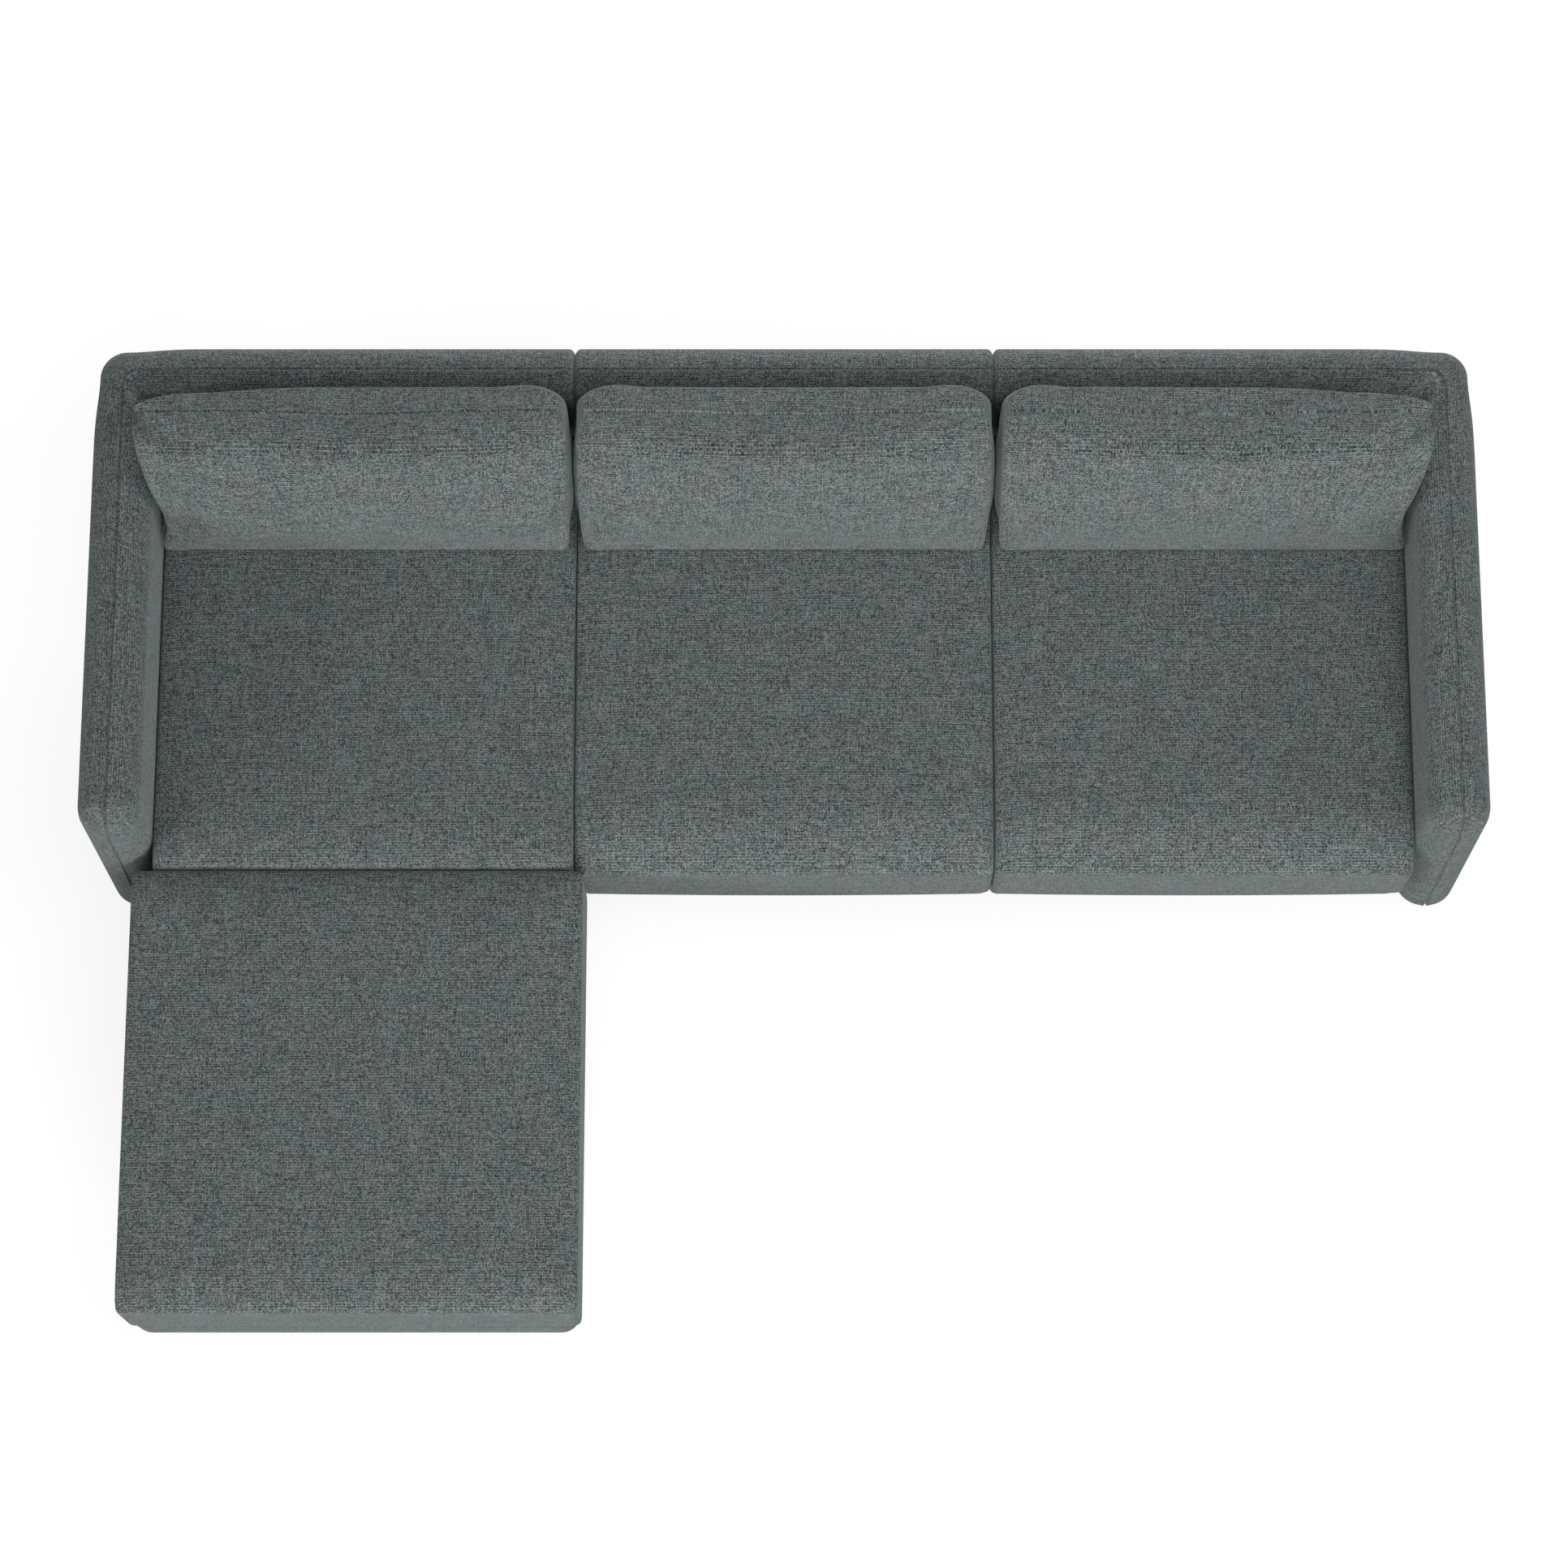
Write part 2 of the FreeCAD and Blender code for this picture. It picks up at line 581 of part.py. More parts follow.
left_wall = cut_all(end_unit_wall(), [arm_space(), back_space("left")])
left_arm_frame = arm_frame()
save("left_arm_back_cover", [cut_all(left_wall, bolt_holes)])
save("left_arm_frame", [cut_all(left_arm_frame, bolt_holes)])
save("right_arm_back_cover", [cut_all(mirrored(left_wall), bolt_holes)])
save("right_arm_frame", [cut_all(mirrored(left_arm_frame), bolt_holes)])
save("centre_back_cover", [cut_all(centre_wall(), [back_space("centre")] + bolt_holes)])

stool_y0 = Y_STOOL - STOOL_DEPTH
stool_pieces = base_pieces(*STOOL_SPAN, stool_y0, Y_STOOL, STOOL_CORNER)
rail_names = ("front_rail", "rear_rail", "side_rails")
stool_rails = [rail for name in rail_names for rail in stool_pieces.pop(name)]
save("footstool_rails", stool_rails)
for piece, solids in stool_pieces.items():
    save(f"footstool_{piece}", solids)
stool_seat = (*STOOL_SPAN, stool_y0, Y_STOOL)
save_cushion("footstool_cushion", seat_cushion(*stool_seat), seat_foam(*stool_seat), "foam")
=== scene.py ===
"""Looks of a modular three-seater sofa with a footstool, in metres.

The file follows the sofa as it is put together: legs, timber and webbing, the padded bases, the
padded walls of arms and backs, the seat and back cushions, and at last the studio round it.
"""
import math

import bmesh
import bpy
import numpy as np
from mathutils import Matrix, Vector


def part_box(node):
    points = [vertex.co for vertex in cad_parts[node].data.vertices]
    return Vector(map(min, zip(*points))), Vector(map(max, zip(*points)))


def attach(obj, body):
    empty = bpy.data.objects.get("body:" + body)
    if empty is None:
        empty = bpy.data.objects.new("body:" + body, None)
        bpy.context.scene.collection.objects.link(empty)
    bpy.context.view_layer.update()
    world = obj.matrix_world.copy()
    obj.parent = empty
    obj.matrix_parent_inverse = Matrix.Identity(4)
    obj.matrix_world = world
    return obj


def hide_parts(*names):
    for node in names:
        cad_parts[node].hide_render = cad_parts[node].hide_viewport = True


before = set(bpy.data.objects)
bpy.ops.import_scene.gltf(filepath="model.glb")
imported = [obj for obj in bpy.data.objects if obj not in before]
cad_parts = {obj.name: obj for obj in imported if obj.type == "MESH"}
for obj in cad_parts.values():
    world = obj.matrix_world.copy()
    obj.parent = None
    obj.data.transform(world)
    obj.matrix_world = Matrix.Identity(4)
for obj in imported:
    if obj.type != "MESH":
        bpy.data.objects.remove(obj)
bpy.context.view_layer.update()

UNITS = ("left", "centre", "right")


# Legs and glides
# Square legs of dark stained beech taper down from the corners of each base, where a bolt draws
# them up against the corner blocks.  A black nylon glide is pressed under every foot.

class Finish:
    """A socket in a finish's nodes; sums and products of sockets and numbers add Math nodes."""

    def __init__(self, tree, socket=None):
        self.tree = tree
        self.socket = socket

    def node(self, kind, settings=None, sockets=None, out=0):
        """Add a node: its settings are made first, then each socket gets its value or its link."""
        made = self.tree.nodes.new(kind)
        for name, value in (settings or {}).items():
            setattr(made, name, value)
        for name, value in (sockets or {}).items():
            if isinstance(value, Finish):
                self.tree.links.new(value.socket, made.inputs[name])
            else:
                made.inputs[name].default_value = value
        return Finish(self.tree, made.outputs[out])

    def also(self, out):
        """Another output of the same node."""
        return Finish(self.tree, self.socket.node.outputs[out])

    def maths(self, operation, first, second=0.0):
        """A Math node on two sockets or numbers."""
        return self.node("ShaderNodeMath", {"operation": operation}, {0: first, 1: second})

    def __add__(self, other):
        return self.maths("ADD", self, other)

    def __sub__(self, other):
        return self.maths("SUBTRACT", self, other)

    def __rsub__(self, other):
        return self.maths("SUBTRACT", other, self)

    def __mul__(self, other):
        return self.maths("MULTIPLY", self, other)

    def __truediv__(self, other):
        return self.maths("DIVIDE", self, other)

    __radd__ = __add__
    __rmul__ = __mul__


def new_finish(name, **shader_values):
    """A material with one Principled shader, its even values set on the shader's own sockets."""
    material = bpy.data.materials.new(name)
    material.use_nodes = True
    shader = material.node_tree.nodes["Principled BSDF"]
    for socket, value in shader_values.items():
        shader.inputs[socket.replace("_", " ")].default_value = value
    return material, shader, Finish(material.node_tree)


def feed(shader, socket, source):
    """Link a source to one of the shader's sockets."""
    source.tree.links.new(source.socket, shader.inputs[socket])


def mixed(share, low, high):
    """Colour between two, by a share from 0 to 1."""
    return share.node("ShaderNodeMix", {"data_type": "RGBA"}, {0: share, 6: low, 7: high}, out=2)


BROAD_GRAIN = (38.0, 38.0, 2.6)      # bands in a metre across and along the timber
FINE_GRAIN = (420.0, 420.0, 9.0)     # and its pores


def grainy_wood(name, dark, light, roughness):
    """Straight-grained timber: noise drawn out along the grain, once broad and once fine."""
    material, shader, start = new_finish(name, Specular_IOR_Level=0.35)
    place = start.node("ShaderNodeTexCoord", out=3)
    broad = place.node("ShaderNodeMapping", None, {0: place, 3: BROAD_GRAIN})
    fine = place.node("ShaderNodeMapping", None, {0: place, 3: FINE_GRAIN})
    bands = broad.node("ShaderNodeTexNoise", None, {"Vector": broad, "Scale": 1.0, "Detail": 4.0})
    pores = fine.node("ShaderNodeTexNoise", None, {"Vector": fine, "Scale": 1.0, "Detail": 2.0})
    grain = bands * 0.7 + pores * 0.45 - 0.1
    feed(shader, "Base Color", mixed(grain, dark, light))
    feed(shader, "Roughness", roughness + pores * 0.2)
    bump = pores.node("ShaderNodeBump", None, {"Strength": 0.25, "Distance": 0.0004, "Height": pores})
    feed(shader, "Normal", bump)
    return material


def dress(names, material):
    """Give modelled pieces their finish, in the slot they came with."""
    for name in names:
        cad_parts[name].material_slots[0].material = material


dark_beech = grainy_wood("dark_beech", (0.018, 0.011, 0.007, 1), (0.075, 0.045, 0.027, 1), 0.38)
dress([f"{unit}_legs" for unit in (*UNITS, "footstool")], dark_beech)

nylon, nylon_shader, start = new_finish("black_nylon", Base_Color=(0.02, 0.02, 0.02, 1))
speckle = start.node("ShaderNodeTexNoise", None, {"Scale": 900.0, "Detail": 2.0})
feed(nylon_shader, "Roughness", 0.4 + speckle * 0.25)
dress(["sofa_glides", "footstool_glides"], nylon)


# Timber, webbing and fixings
# Inside each padded base, pine rails are glued round corner blocks and strung with two layers of
# rubber-backed straps.  Zinc-plated bolts, plates and screws hold the units to each other.

pine = grainy_wood("sawn_pine", (0.36, 0.22, 0.11, 1), (0.66, 0.47, 0.28, 1), 0.6)
RAILS = ("front_rail", "rear_rail", "side_rails", "corner_blocks", "back_frame")
dress([f"{unit}_{rail}" for unit in UNITS for rail in RAILS], pine)
dress(["left_arm_frame", "right_arm_frame", "footstool_rails", "footstool_corner_blocks"], pine)

STRAP_RIB = 0.004             # pitch of the ribs across a strap
WAVE_PERIOD = 0.314           # period of a wave texture whose scale is 1
strap_cloth, strap_shader, start = new_finish("rubber_webbing", Roughness=0.8)
place = start.node("ShaderNodeTexCoord", out=3)
ribs = place.node("ShaderNodeTexWave", None, {"Vector": place, "Scale": WAVE_PERIOD / STRAP_RIB})
feed(strap_shader, "Base Color", mixed(ribs, (0.015, 0.015, 0.017, 1), (0.06, 0.058, 0.055, 1)))
rib_bump = ribs.node("ShaderNodeBump", None, {"Strength": 0.5, "Distance": 0.0005, "Height": ribs})
feed(strap_shader, "Normal", rib_bump)
dress([f"{unit}_webbing" for unit in (*UNITS, "footstool")], strap_cloth)

dust_cloth, dust_shader, start = new_finish("bonded_dust_cloth", Roughness=0.92)
place = start.node("ShaderNodeTexCoord", out=3)
bonds = place.node("ShaderNodeTexVoronoi", None, {"Vector": place, "Scale": 420.0, "Randomness": 0.35})
fibres = place.node("ShaderNodeTexNoise", None, {"Vector": place, "Scale": 260.0, "Detail": 4.0})
felt = bonds + fibres * 0.5
feed(dust_shader, "Base Color", mixed(felt, (0.008, 0.008, 0.009, 1), (0.05, 0.05, 0.052, 1)))
feed(dust_shader, "Normal", bonds.node("ShaderNodeBump", None, {"Distance": 0.0004, "Height": bonds}))
dress([f"{unit}_dust_cover" for unit in (*UNITS, "footstool")], dust_cloth)

zinc, zinc_shader, start = new_finish("zinc_plate", Base_Color=(0.62, 0.62, 0.6, 1), Metallic=1.0)
spangle = start.node("ShaderNodeTexNoise", None, {"Scale": 180.0, "Detail": 5.0})
feed(zinc_shader, "Roughness", 0.25 + spangle * 0.3)
dress(["sofa_leg_bolts", "footstool_leg_bolts", "frame_bolts", "joining_plates", "plate_screws"], zinc)

foam, foam_shader, start = new_finish("cushion_foam", Roughness=0.95)
place = start.node("ShaderNodeTexCoord", out=3)
cells = place.node("ShaderNodeTexVoronoi", None, {"Vector": place, "Scale": 700.0})
feed(foam_shader, "Base Color", mixed(cells, (0.74, 0.66, 0.42, 1), (0.82, 0.78, 0.6, 1)))
feed(foam_shader, "Normal", cells.node("ShaderNodeBump", None, {"Distance": 0.0006, "Height": cells}))
dress([f"{piece}_cushion_foam" for piece in ("left_seat", "centre_seat", "right_seat", "footstool")], foam)
dress([f"{unit}_back_cushion_fill" for unit in UNITS], foam)


# Padded bases
# Each seat and the footstool stand on a timber box wrapped in thin foam and the sofa's cloth.
# The cloth is drawn over a closed deck and turned under, where it frames the black dust cloth.

CLOTH_WEFT = 0.0023           # pitch of the yarns that run across
CLOTH_WARP = 0.0026           # pitch of the yarns that run along
WEFT_FLECK = 215.0            # flecks in a metre of yarn
WARP_FLECK = 280.0
YARN_SLUB = 26.0              # thick places in a metre of yarn
CLOTH_DARK = (0.022, 0.028, 0.028, 1)
CLOTH_LIGHT = (0.276, 0.311, 0.309, 1)
CLOTH_WARM = (0.54, 0.5, 0.45, 1)
CLOTH_COOL = (0.45, 0.51, 0.52, 1)
CLOTH_SHEEN = 0.24            # fine fibres that brighten the cloth where it is seen edge on


def heathered_cloth():
    """Grey-teal plain weave of flecked yarns, over and under each other like a chequerboard.

    The upper yarn of a cell has its own flecks and slubs, noise along that yarn alone, and stands up
    as 1 - offset^2 between its neighbours; that same rise also darkens the colour in the gaps between
    yarns and lightens it on their crowns, which is painted shade and painted highlight.  Every second
    row is lighter, and warmer and cooler patches vary the whole cloth.
    """
    material, shader, start = new_finish(
        "heathered_weave", Roughness=0.9, Specular_IOR_Level=0.15, Sheen_Weight=CLOTH_SHEEN,
        Sheen_Roughness=0.4, Sheen_Tint=(0.72, 0.8, 0.8, 1),
    )
    weave = start.node("ShaderNodeUVMap", {"uv_map": "weave"})
    along = weave.node("ShaderNodeSeparateXYZ", None, {0: weave})
    across = along.also(1)
    row = across / CLOTH_WEFT
    column = along / CLOTH_WARP
    row_number = row.maths("FLOOR", row)
    column_number = column.maths("FLOOR", column)

    def yarn(run, number, fineness):
        """Noise along a yarn, different for each yarn."""
        place = run.node("ShaderNodeCombineXYZ", None, {0: run * fineness, 1: number * 7.31})
        return place.node("ShaderNodeTexNoise", None, {"Vector": place, "Scale": 1.0, "Detail": 1.0})

    half = (row_number + column_number) * 0.5
    over = half.maths("FRACT", half) * 2

    def upper(weft, warp):
        """What shows of two crossing yarns."""
        return weft + (warp - weft) * over

    side = (row - row_number) * 2 - 1
    end = (column - column_number) * 2 - 1
    # The rise of each yarn: a real height for the bump, and in the tone painted shade in the gaps between
    # yarns
    stand_and_gap_shade = 1 - upper(side * side, end * end)
    flecks = upper(yarn(along, row_number, WEFT_FLECK) * 1.2 - 0.1, yarn(across, column_number, WARP_FLECK))
    slubs = upper(yarn(along, row_number, YARN_SLUB) * 1.3 - 0.15, yarn(across, column_number, YARN_SLUB))
    rib = row.maths("FRACT", row_number * 0.5) * 2
    # Flecks, slubs and alternate rows are the yarns' own colour; the stand term is painted shade between
    # yarns and painted highlight on their crowns
    tone = (flecks - 0.5) * 2.2 + (slubs - 0.5) * 1.0 + stand_and_gap_shade * 0.8 + rib * 0.2 - 0.28
    shade = mixed(tone, CLOTH_DARK, CLOTH_LIGHT)
    patches = weave.node("ShaderNodeTexNoise", None, {"Vector": weave, "Scale": 16.0, "Detail": 2.0})
    hue = mixed((patches - 0.5) * 2.5 + 0.5, CLOTH_WARM, CLOTH_COOL)
    tinted = shade.node(
        "ShaderNodeMix", {"data_type": "RGBA", "blend_type": "SOFT_LIGHT"},
        {0: 0.5, 6: shade, 7: hue}, out=2,
    )
    feed(shader, "Base Color", tinted)
    height = stand_and_gap_shade * 0.7 + flecks * 0.5
    bump = height.node("ShaderNodeBump", None, {"Strength": 0.5, "Distance": 0.0008, "Height": height})
    feed(shader, "Normal", bump)
    return material


upholstery = heathered_cloth()


def sewn(name, panels, body, replaced):
    """Closed skin of quad panels, sewn where their edges meet and riding on a body.

    A panel is a grid of points and a grid of weave coordinates in metres.  Points that coincide to
    a hundredth of a millimetre become one vertex, and each panel keeps its own weave.
    """
    corners = []
    first = 0
    for place, _ in panels:
        rows, columns = place.shape[:2]
        number = first + np.arange(rows * columns).reshape(rows, columns)
        quads = (number[:-1, :-1], number[:-1, 1:], number[1:, 1:], number[1:, :-1])
        corners.append(np.stack(quads, -1).reshape(-1, 4))
        first += rows * columns
    corners = np.concatenate(corners)
    points = np.concatenate([place.reshape(-1, 3) for place, _ in panels])
    weave = np.concatenate([cloth.reshape(-1, 2) for _, cloth in panels])
    keys = np.floor(points * 1e5 + 0.37).astype(np.int64)
    _, kept, vertex = np.unique(keys, axis=0, return_index=True, return_inverse=True)
    vertex = vertex.reshape(-1)
    mesh = bpy.data.meshes.new(name)
    mesh.from_pydata(points[kept], [], vertex[corners])
    mesh.uv_layers.new(name="weave").data.foreach_set("uv", weave[corners].astype(np.float32).ravel())
    mesh.polygons.foreach_set("use_smooth", np.ones(len(corners), bool))
    mesh.materials.append(upholstery)
    piece = bpy.data.objects.new(name, mesh)
    bpy.context.scene.collection.objects.link(piece)
    turn_outwards(mesh)
    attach(piece, body)
    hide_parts(*replaced)
    return piece, vertex


def turn_outwards(mesh):
    """Turn every face of a closed skin outwards; its points keep their numbers."""
    skin = bmesh.new()
    skin.from_mesh(mesh)
    bmesh.ops.recalc_face_normals(skin, faces=skin.faces)
    skin.to_mesh(mesh)
    skin.free()


def stitched_patch(front, rear, left, right):
    """Panel between four edges: both ruled surfaces added, less the flat patch of the corners.

    Front and rear run from left to right, left and right from front to rear.
    """
    u = np.linspace(0, 1, len(front))[None, :, None]
    v = np.linspace(0, 1, len(left))[:, None, None]
    ruled = (1 - v) * front[None] + v * rear[None] + (1 - u) * left[:, None] + u * right[:, None]
    flat = (1 - v) * ((1 - u) * front[0] + u * front[-1]) + v * ((1 - u) * rear[0] + u * rear[-1])
    return ruled - flat


def round_box(x0, x1, y0, y1, z, corner, rear_corner, wide, deep, bend):
    """Level outlines of a box with round corners, one for each height, all closed.

    An outline starts in the middle of its front left corner and goes round by the right.  A point
    is low + corner + share * (high - low - both corners) + corner * outward, for x and y alike; the
    rear corners are given along x and along y.  Returns the points, the outward directions and
    where the four sides begin.
    """
    def side(count):
        share = np.concatenate([np.zeros(bend), np.linspace(0, 1, count), np.ones(bend)])
        swing = np.linspace(0, 45, bend + 1)[1:]
        return share, np.concatenate([-swing[::-1], np.zeros(count), swing])

    across, swing_w = side(wide)
    back, swing_d = side(deep)
    share_x = np.concatenate([across, np.ones(len(back) - 1), 1 - across[1:], np.zeros(len(back) - 1)])
    share_y = np.concatenate([np.zeros(len(across)), back[1:], np.ones(len(across) - 1), 1 - back[1:]])
    angle = np.concatenate([swing_w - 90, swing_d[1:], swing_w[1:] + 90, swing_d[1:] + 180])
    outward = np.stack([np.cos(np.radians(angle)), np.sin(np.radians(angle))], -1)
    levels = np.broadcast_arrays(x0, x1, y0, y1, z, corner, *rear_corner)
    x0, x1, y0, y1, z, corner, rear_x, rear_y = (np.asarray(a, float)[:, None] for a in levels)
    bound_x, bound_y = (np.where(share_y > 0.5, rear, corner) for rear in (rear_x, rear_y))
    x = x0 + bound_x + share_x * (x1 - x0 - 2 * bound_x) + bound_x * outward[:, 0]
    y = y0 + corner + share_y * (y1 - y0 - corner - rear_y) + bound_y * outward[:, 1]
    starts = np.cumsum([0, len(across) - 1, len(back) - 1, len(across) - 1, len(back) - 1])
    return np.stack([x, y, z + 0 * x], -1), outward, starts


def lid(outline, starts):
    """Panel that closes a level outline, and its weave laid flat in x and y."""
    front, right, rear, left = (outline[a:b + 1] for a, b in zip(starts[:-1], starts[1:]))
    panel = stitched_patch(front, rear[::-1], left[::-1], right)
    return panel, panel[..., :2]


def girth(outline):
    """Distance round each level outline, from its start to each point."""
    steps = np.linalg.norm(np.diff(outline, axis=-2), axis=-1)
    return np.concatenate([np.zeros_like(steps[..., :1]), np.cumsum(steps, -1)], -1)


BASE_EDGE = 0.012             # rounding of the padded edges
TURN_UNDER = 0.0117           # cloth turned under, up to the dust cloth
RECESS = 0.0027               # depth of the dust cloth's bed
BASE_BELLY = 0.0015           # the sides swell this much at mid-height
BASE_BOW = 0.0035             # the padding bows the front out in its middle
BASE_CORNER = 0.016           # upright corners of a seat's base
STOOL_BASE_CORNER = 0.034
LEAST_BASE_CORNER = 0.002
SIDE_POINTS = 40
BEND_POINTS = 6


def padded_base(name, node, body, corner, bow):
    """Box skin from the bed of the dust cloth, out round the foot, up the sides and over the deck.

    The front bows out by bow * (1/2 - across^2), fading inwards with the fourth power of depth.
    """
    low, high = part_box(node)
    turn = np.radians(np.linspace(0, 90, 6))
    sides = np.linspace(0, 1, 9)[1:-1]
    foot = low.z + BASE_EDGE / 2 * (1 - np.sin(turn))
    top = high.z - BASE_EDGE * (1 - np.sin(turn))
    inset = np.concatenate([
        [TURN_UNDER, TURN_UNDER], BASE_EDGE / 2 * (1 - np.cos(turn[::-1])),
        -BASE_BELLY * np.sin(np.pi * sides), BASE_EDGE * (1 - np.cos(turn)),
    ])
    z = np.concatenate([
        [low.z + RECESS, low.z], foot[::-1], foot[0] + sides * (top[0] - foot[0]), top,
    ])
    bound = np.maximum(corner - inset, LEAST_BASE_CORNER)
    skin, _, starts = round_box(
        low.x + inset, high.x - inset, low.y + inset, high.y - inset, z, bound, (bound, bound),
        SIDE_POINTS, SIDE_POINTS, BEND_POINTS,
    )
    across = (2 * skin[..., 0] - low.x - high.x) / (high.x - low.x)
    ahead = np.clip((low.y + high.y - 2 * skin[..., 1]) / (high.y - low.y), 0, 1)
    skin[..., 1] -= bow * (0.5 - across ** 2) * ahead ** 4
    rise = np.concatenate([[0], np.cumsum(np.hypot(np.diff(inset), np.diff(z)))])
    around = girth(skin[2 + len(turn)])
    cloth = np.stack(np.broadcast_arrays(around, rise[:, None]), -1)
    panels = [(skin, cloth), lid(skin[0], starts), lid(skin[-1], starts)]
    sewn(name, panels, body, [node])


for unit in UNITS:
    bow = 0 if unit == "left" else BASE_BOW
    padded_base(f"{unit}_base", f"{unit}_base_cover", "sofa", BASE_CORNER, bow)
padded_base("footstool_base", "footstool_base_cover", "footstool", STOOL_BASE_CORNER, 0)


# Arms and backs
# Each end unit has one padded wall that turns from the arm into the back; the centre unit has a
# back alone.  Two panels of cloth meet in a seam that runs along the middle of the full-round
# top, round the rear corner and down the raked front of the arm.

WALL_LOW, WALL_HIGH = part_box("left_arm_back_cover")
BACK_LOW, BACK_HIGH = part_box("centre_back_cover")
HALF_WALL = (BACK_HIGH.y - BACK_LOW.y) / 2
SEAM_STRIP = 0.003            # half the width of the flat strip along the seam
NOSE = HALF_WALL - SEAM_STRIP  # radius of the full-round rim, either side of that strip
RAKE = 0.024                  # the arm's front leans out this far from its top to its foot
BROW = 0.058                  # bend of the outline where the arm's top turns down its front
SEAM_BEND = 0.028             # bend of the seam where the arm turns into the back
OUTER_BEND = 0.048            # bend of the rear corner itself
INNER_BEND = 0.004            # bend of the inner face, from BEND_REACH inside the seam
BEND_REACH = 0.020
CORNER_PULL = 0.007           # the cloth draws the rear corner in
CORNER_LEAD = 0.065           # and eases that pull out over this length
WALL_END = 0.011              # rounding where the cloth turns onto the end of a wall
SEAM_ZONE = 0.012             # half the width of the rim that is meshed finely for the seam
SEAM_LIP = 0.0014             # the two panels stand up along the seam
LIP_PLACE = 0.0042
LIP_WIDTH = 0.0026
SEAM_GROOVE = 0.0036          # and the stitches draw it in
GROOVE_WIDTH = 0.0016
FAINT = 0.3                   # share of the seam that shows on a straight back
FADE = 8                      # how fast the rest of it fades along the back
PANEL_CUT = 0.53              # the inner panel is cut from another place on the roll
X_ARM_MIDDLE = WALL_LOW.x + HALF_WALL
Y_BACK_MIDDLE = BACK_LOW.y + HALF_WALL


def rim():
    """Half-round rim as offset across the wall, depth below the rim, the seam's own depth and arc.

    Offset is strip / 2 + radius * sin(angle) and depth radius * (1 - cos(angle)), mirrored about
    the seam.  Two lips stand up beside the seam and a groove lies between them.  Arc is the way up
    from the face.
    """
    near = np.linspace(0, SEAM_ZONE, 15)
    beside = np.arcsin(np.maximum(near - SEAM_STRIP, 0) / NOSE)
    beyond = np.radians(np.linspace(12, 90, 18))
    angle = np.concatenate([beside, beyond])
    offset = np.concatenate([near, SEAM_STRIP + NOSE * np.sin(beyond)])
    depth = NOSE * (1 - np.cos(angle))
    lips = SEAM_LIP * np.exp(-(((offset - LIP_PLACE) / LIP_WIDTH) ** 2))
    seam = SEAM_GROOVE * np.exp(-((offset / GROOVE_WIDTH) ** 2)) - lips
    arc = NOSE * (np.pi / 2 - angle) + np.maximum(SEAM_STRIP - offset, 0)
    return offset, depth, seam, arc


def arm_outline():
    """Side view of the arm's rim from its foot up the raked front and round the brow, with the
    direction inwards at each point."""
    climb = np.linspace(0, 1, 26)[:-1]
    brow_z = WALL_HIGH.z - BROW
    brow_y = WALL_LOW.y + RAKE * (brow_z - WALL_LOW.z) / (WALL_HIGH.z - WALL_LOW.z)
    turn = np.radians(np.linspace(0, 90, 17))
    y = np.concatenate([WALL_LOW.y + climb * (brow_y - WALL_LOW.y), brow_y + BROW * (1 - np.cos(turn))])
    z = np.concatenate([WALL_LOW.z + climb * (brow_z - WALL_LOW.z), brow_z + BROW * np.sin(turn)])
    inward = np.stack([np.cos(turn), -np.sin(turn)], -1)
    inward = np.concatenate([np.tile([1.0, 0.0], (len(climb), 1)), inward])
    return np.stack([y, z], -1), inward, len(climb) + len(turn) // 2


def end_rounding(count):
    """Last stations of a wall: how far they stop short of its end, and how far they draw in."""
    turn = np.radians(np.linspace(0, 90, count))
    return WALL_END * (1 - np.sin(turn)), WALL_END * (1 - np.cos(turn))


def corner_run(x_end):
    """Plan of an end unit's wall behind the brow, as a function of the offset towards the seat.

    The arm runs straight, turns on a circle whose radius falls from the outer bend to the inner,
    and the back runs straight to its end.  Outside the seam the corner is drawn in by
    pull * exp(-(distance / lead)^2).  Also gives how far each station draws in at the end and how
    much of the seam shows, which fades along the back as exp(-fade * share).
    """
    y_start = arm_outline()[0][-1, 0]
    straight = np.linspace(0, 1, 64)[:, None]
    turn = np.radians(np.linspace(0, 90, 19)[1:])[:, None]
    along = np.linspace(0, 1, 56)[1:, None]
    short, drawn = end_rounding(7)

    def plan(offset):
        radius = np.interp(offset, (-HALF_WALL, 0, BEND_REACH), (OUTER_BEND, SEAM_BEND, INNER_BEND))
        pull = CORNER_PULL * np.clip(-offset / HALF_WALL, 0, 1)
        x_line = X_ARM_MIDDLE + offset
        y_line = Y_BACK_MIDDLE - offset
        x_turn = x_line + pull + radius
        y_turn = y_line - pull - radius
        arm_y = y_start + straight * (y_turn - y_start)
        arm_x = x_line + pull * np.exp(-(((y_turn - arm_y) / CORNER_LEAD) ** 2))
        back_x = x_turn + along * (x_end - WALL_END - x_turn)
        back_x = np.concatenate([back_x, x_end - short[1:, None] + 0 * offset])
        back_y = y_line - pull * np.exp(-(((back_x - x_turn) / CORNER_LEAD) ** 2))
        x = np.concatenate([arm_x, x_turn - radius * np.cos(turn), back_x])
        y = np.concatenate([arm_y, y_turn + radius * np.sin(turn), back_y])
        return np.stack([x, y], -1)

    shown = np.concatenate([np.ones(len(straight) + len(turn)), np.exp(-FADE * along[:, 0]), 0 * drawn[1:]])
    drawn = np.concatenate([np.zeros(len(straight) + len(turn) + len(along)), drawn[1:]])
    return plan, drawn, FAINT + (1 - FAINT) * shown, len(straight)


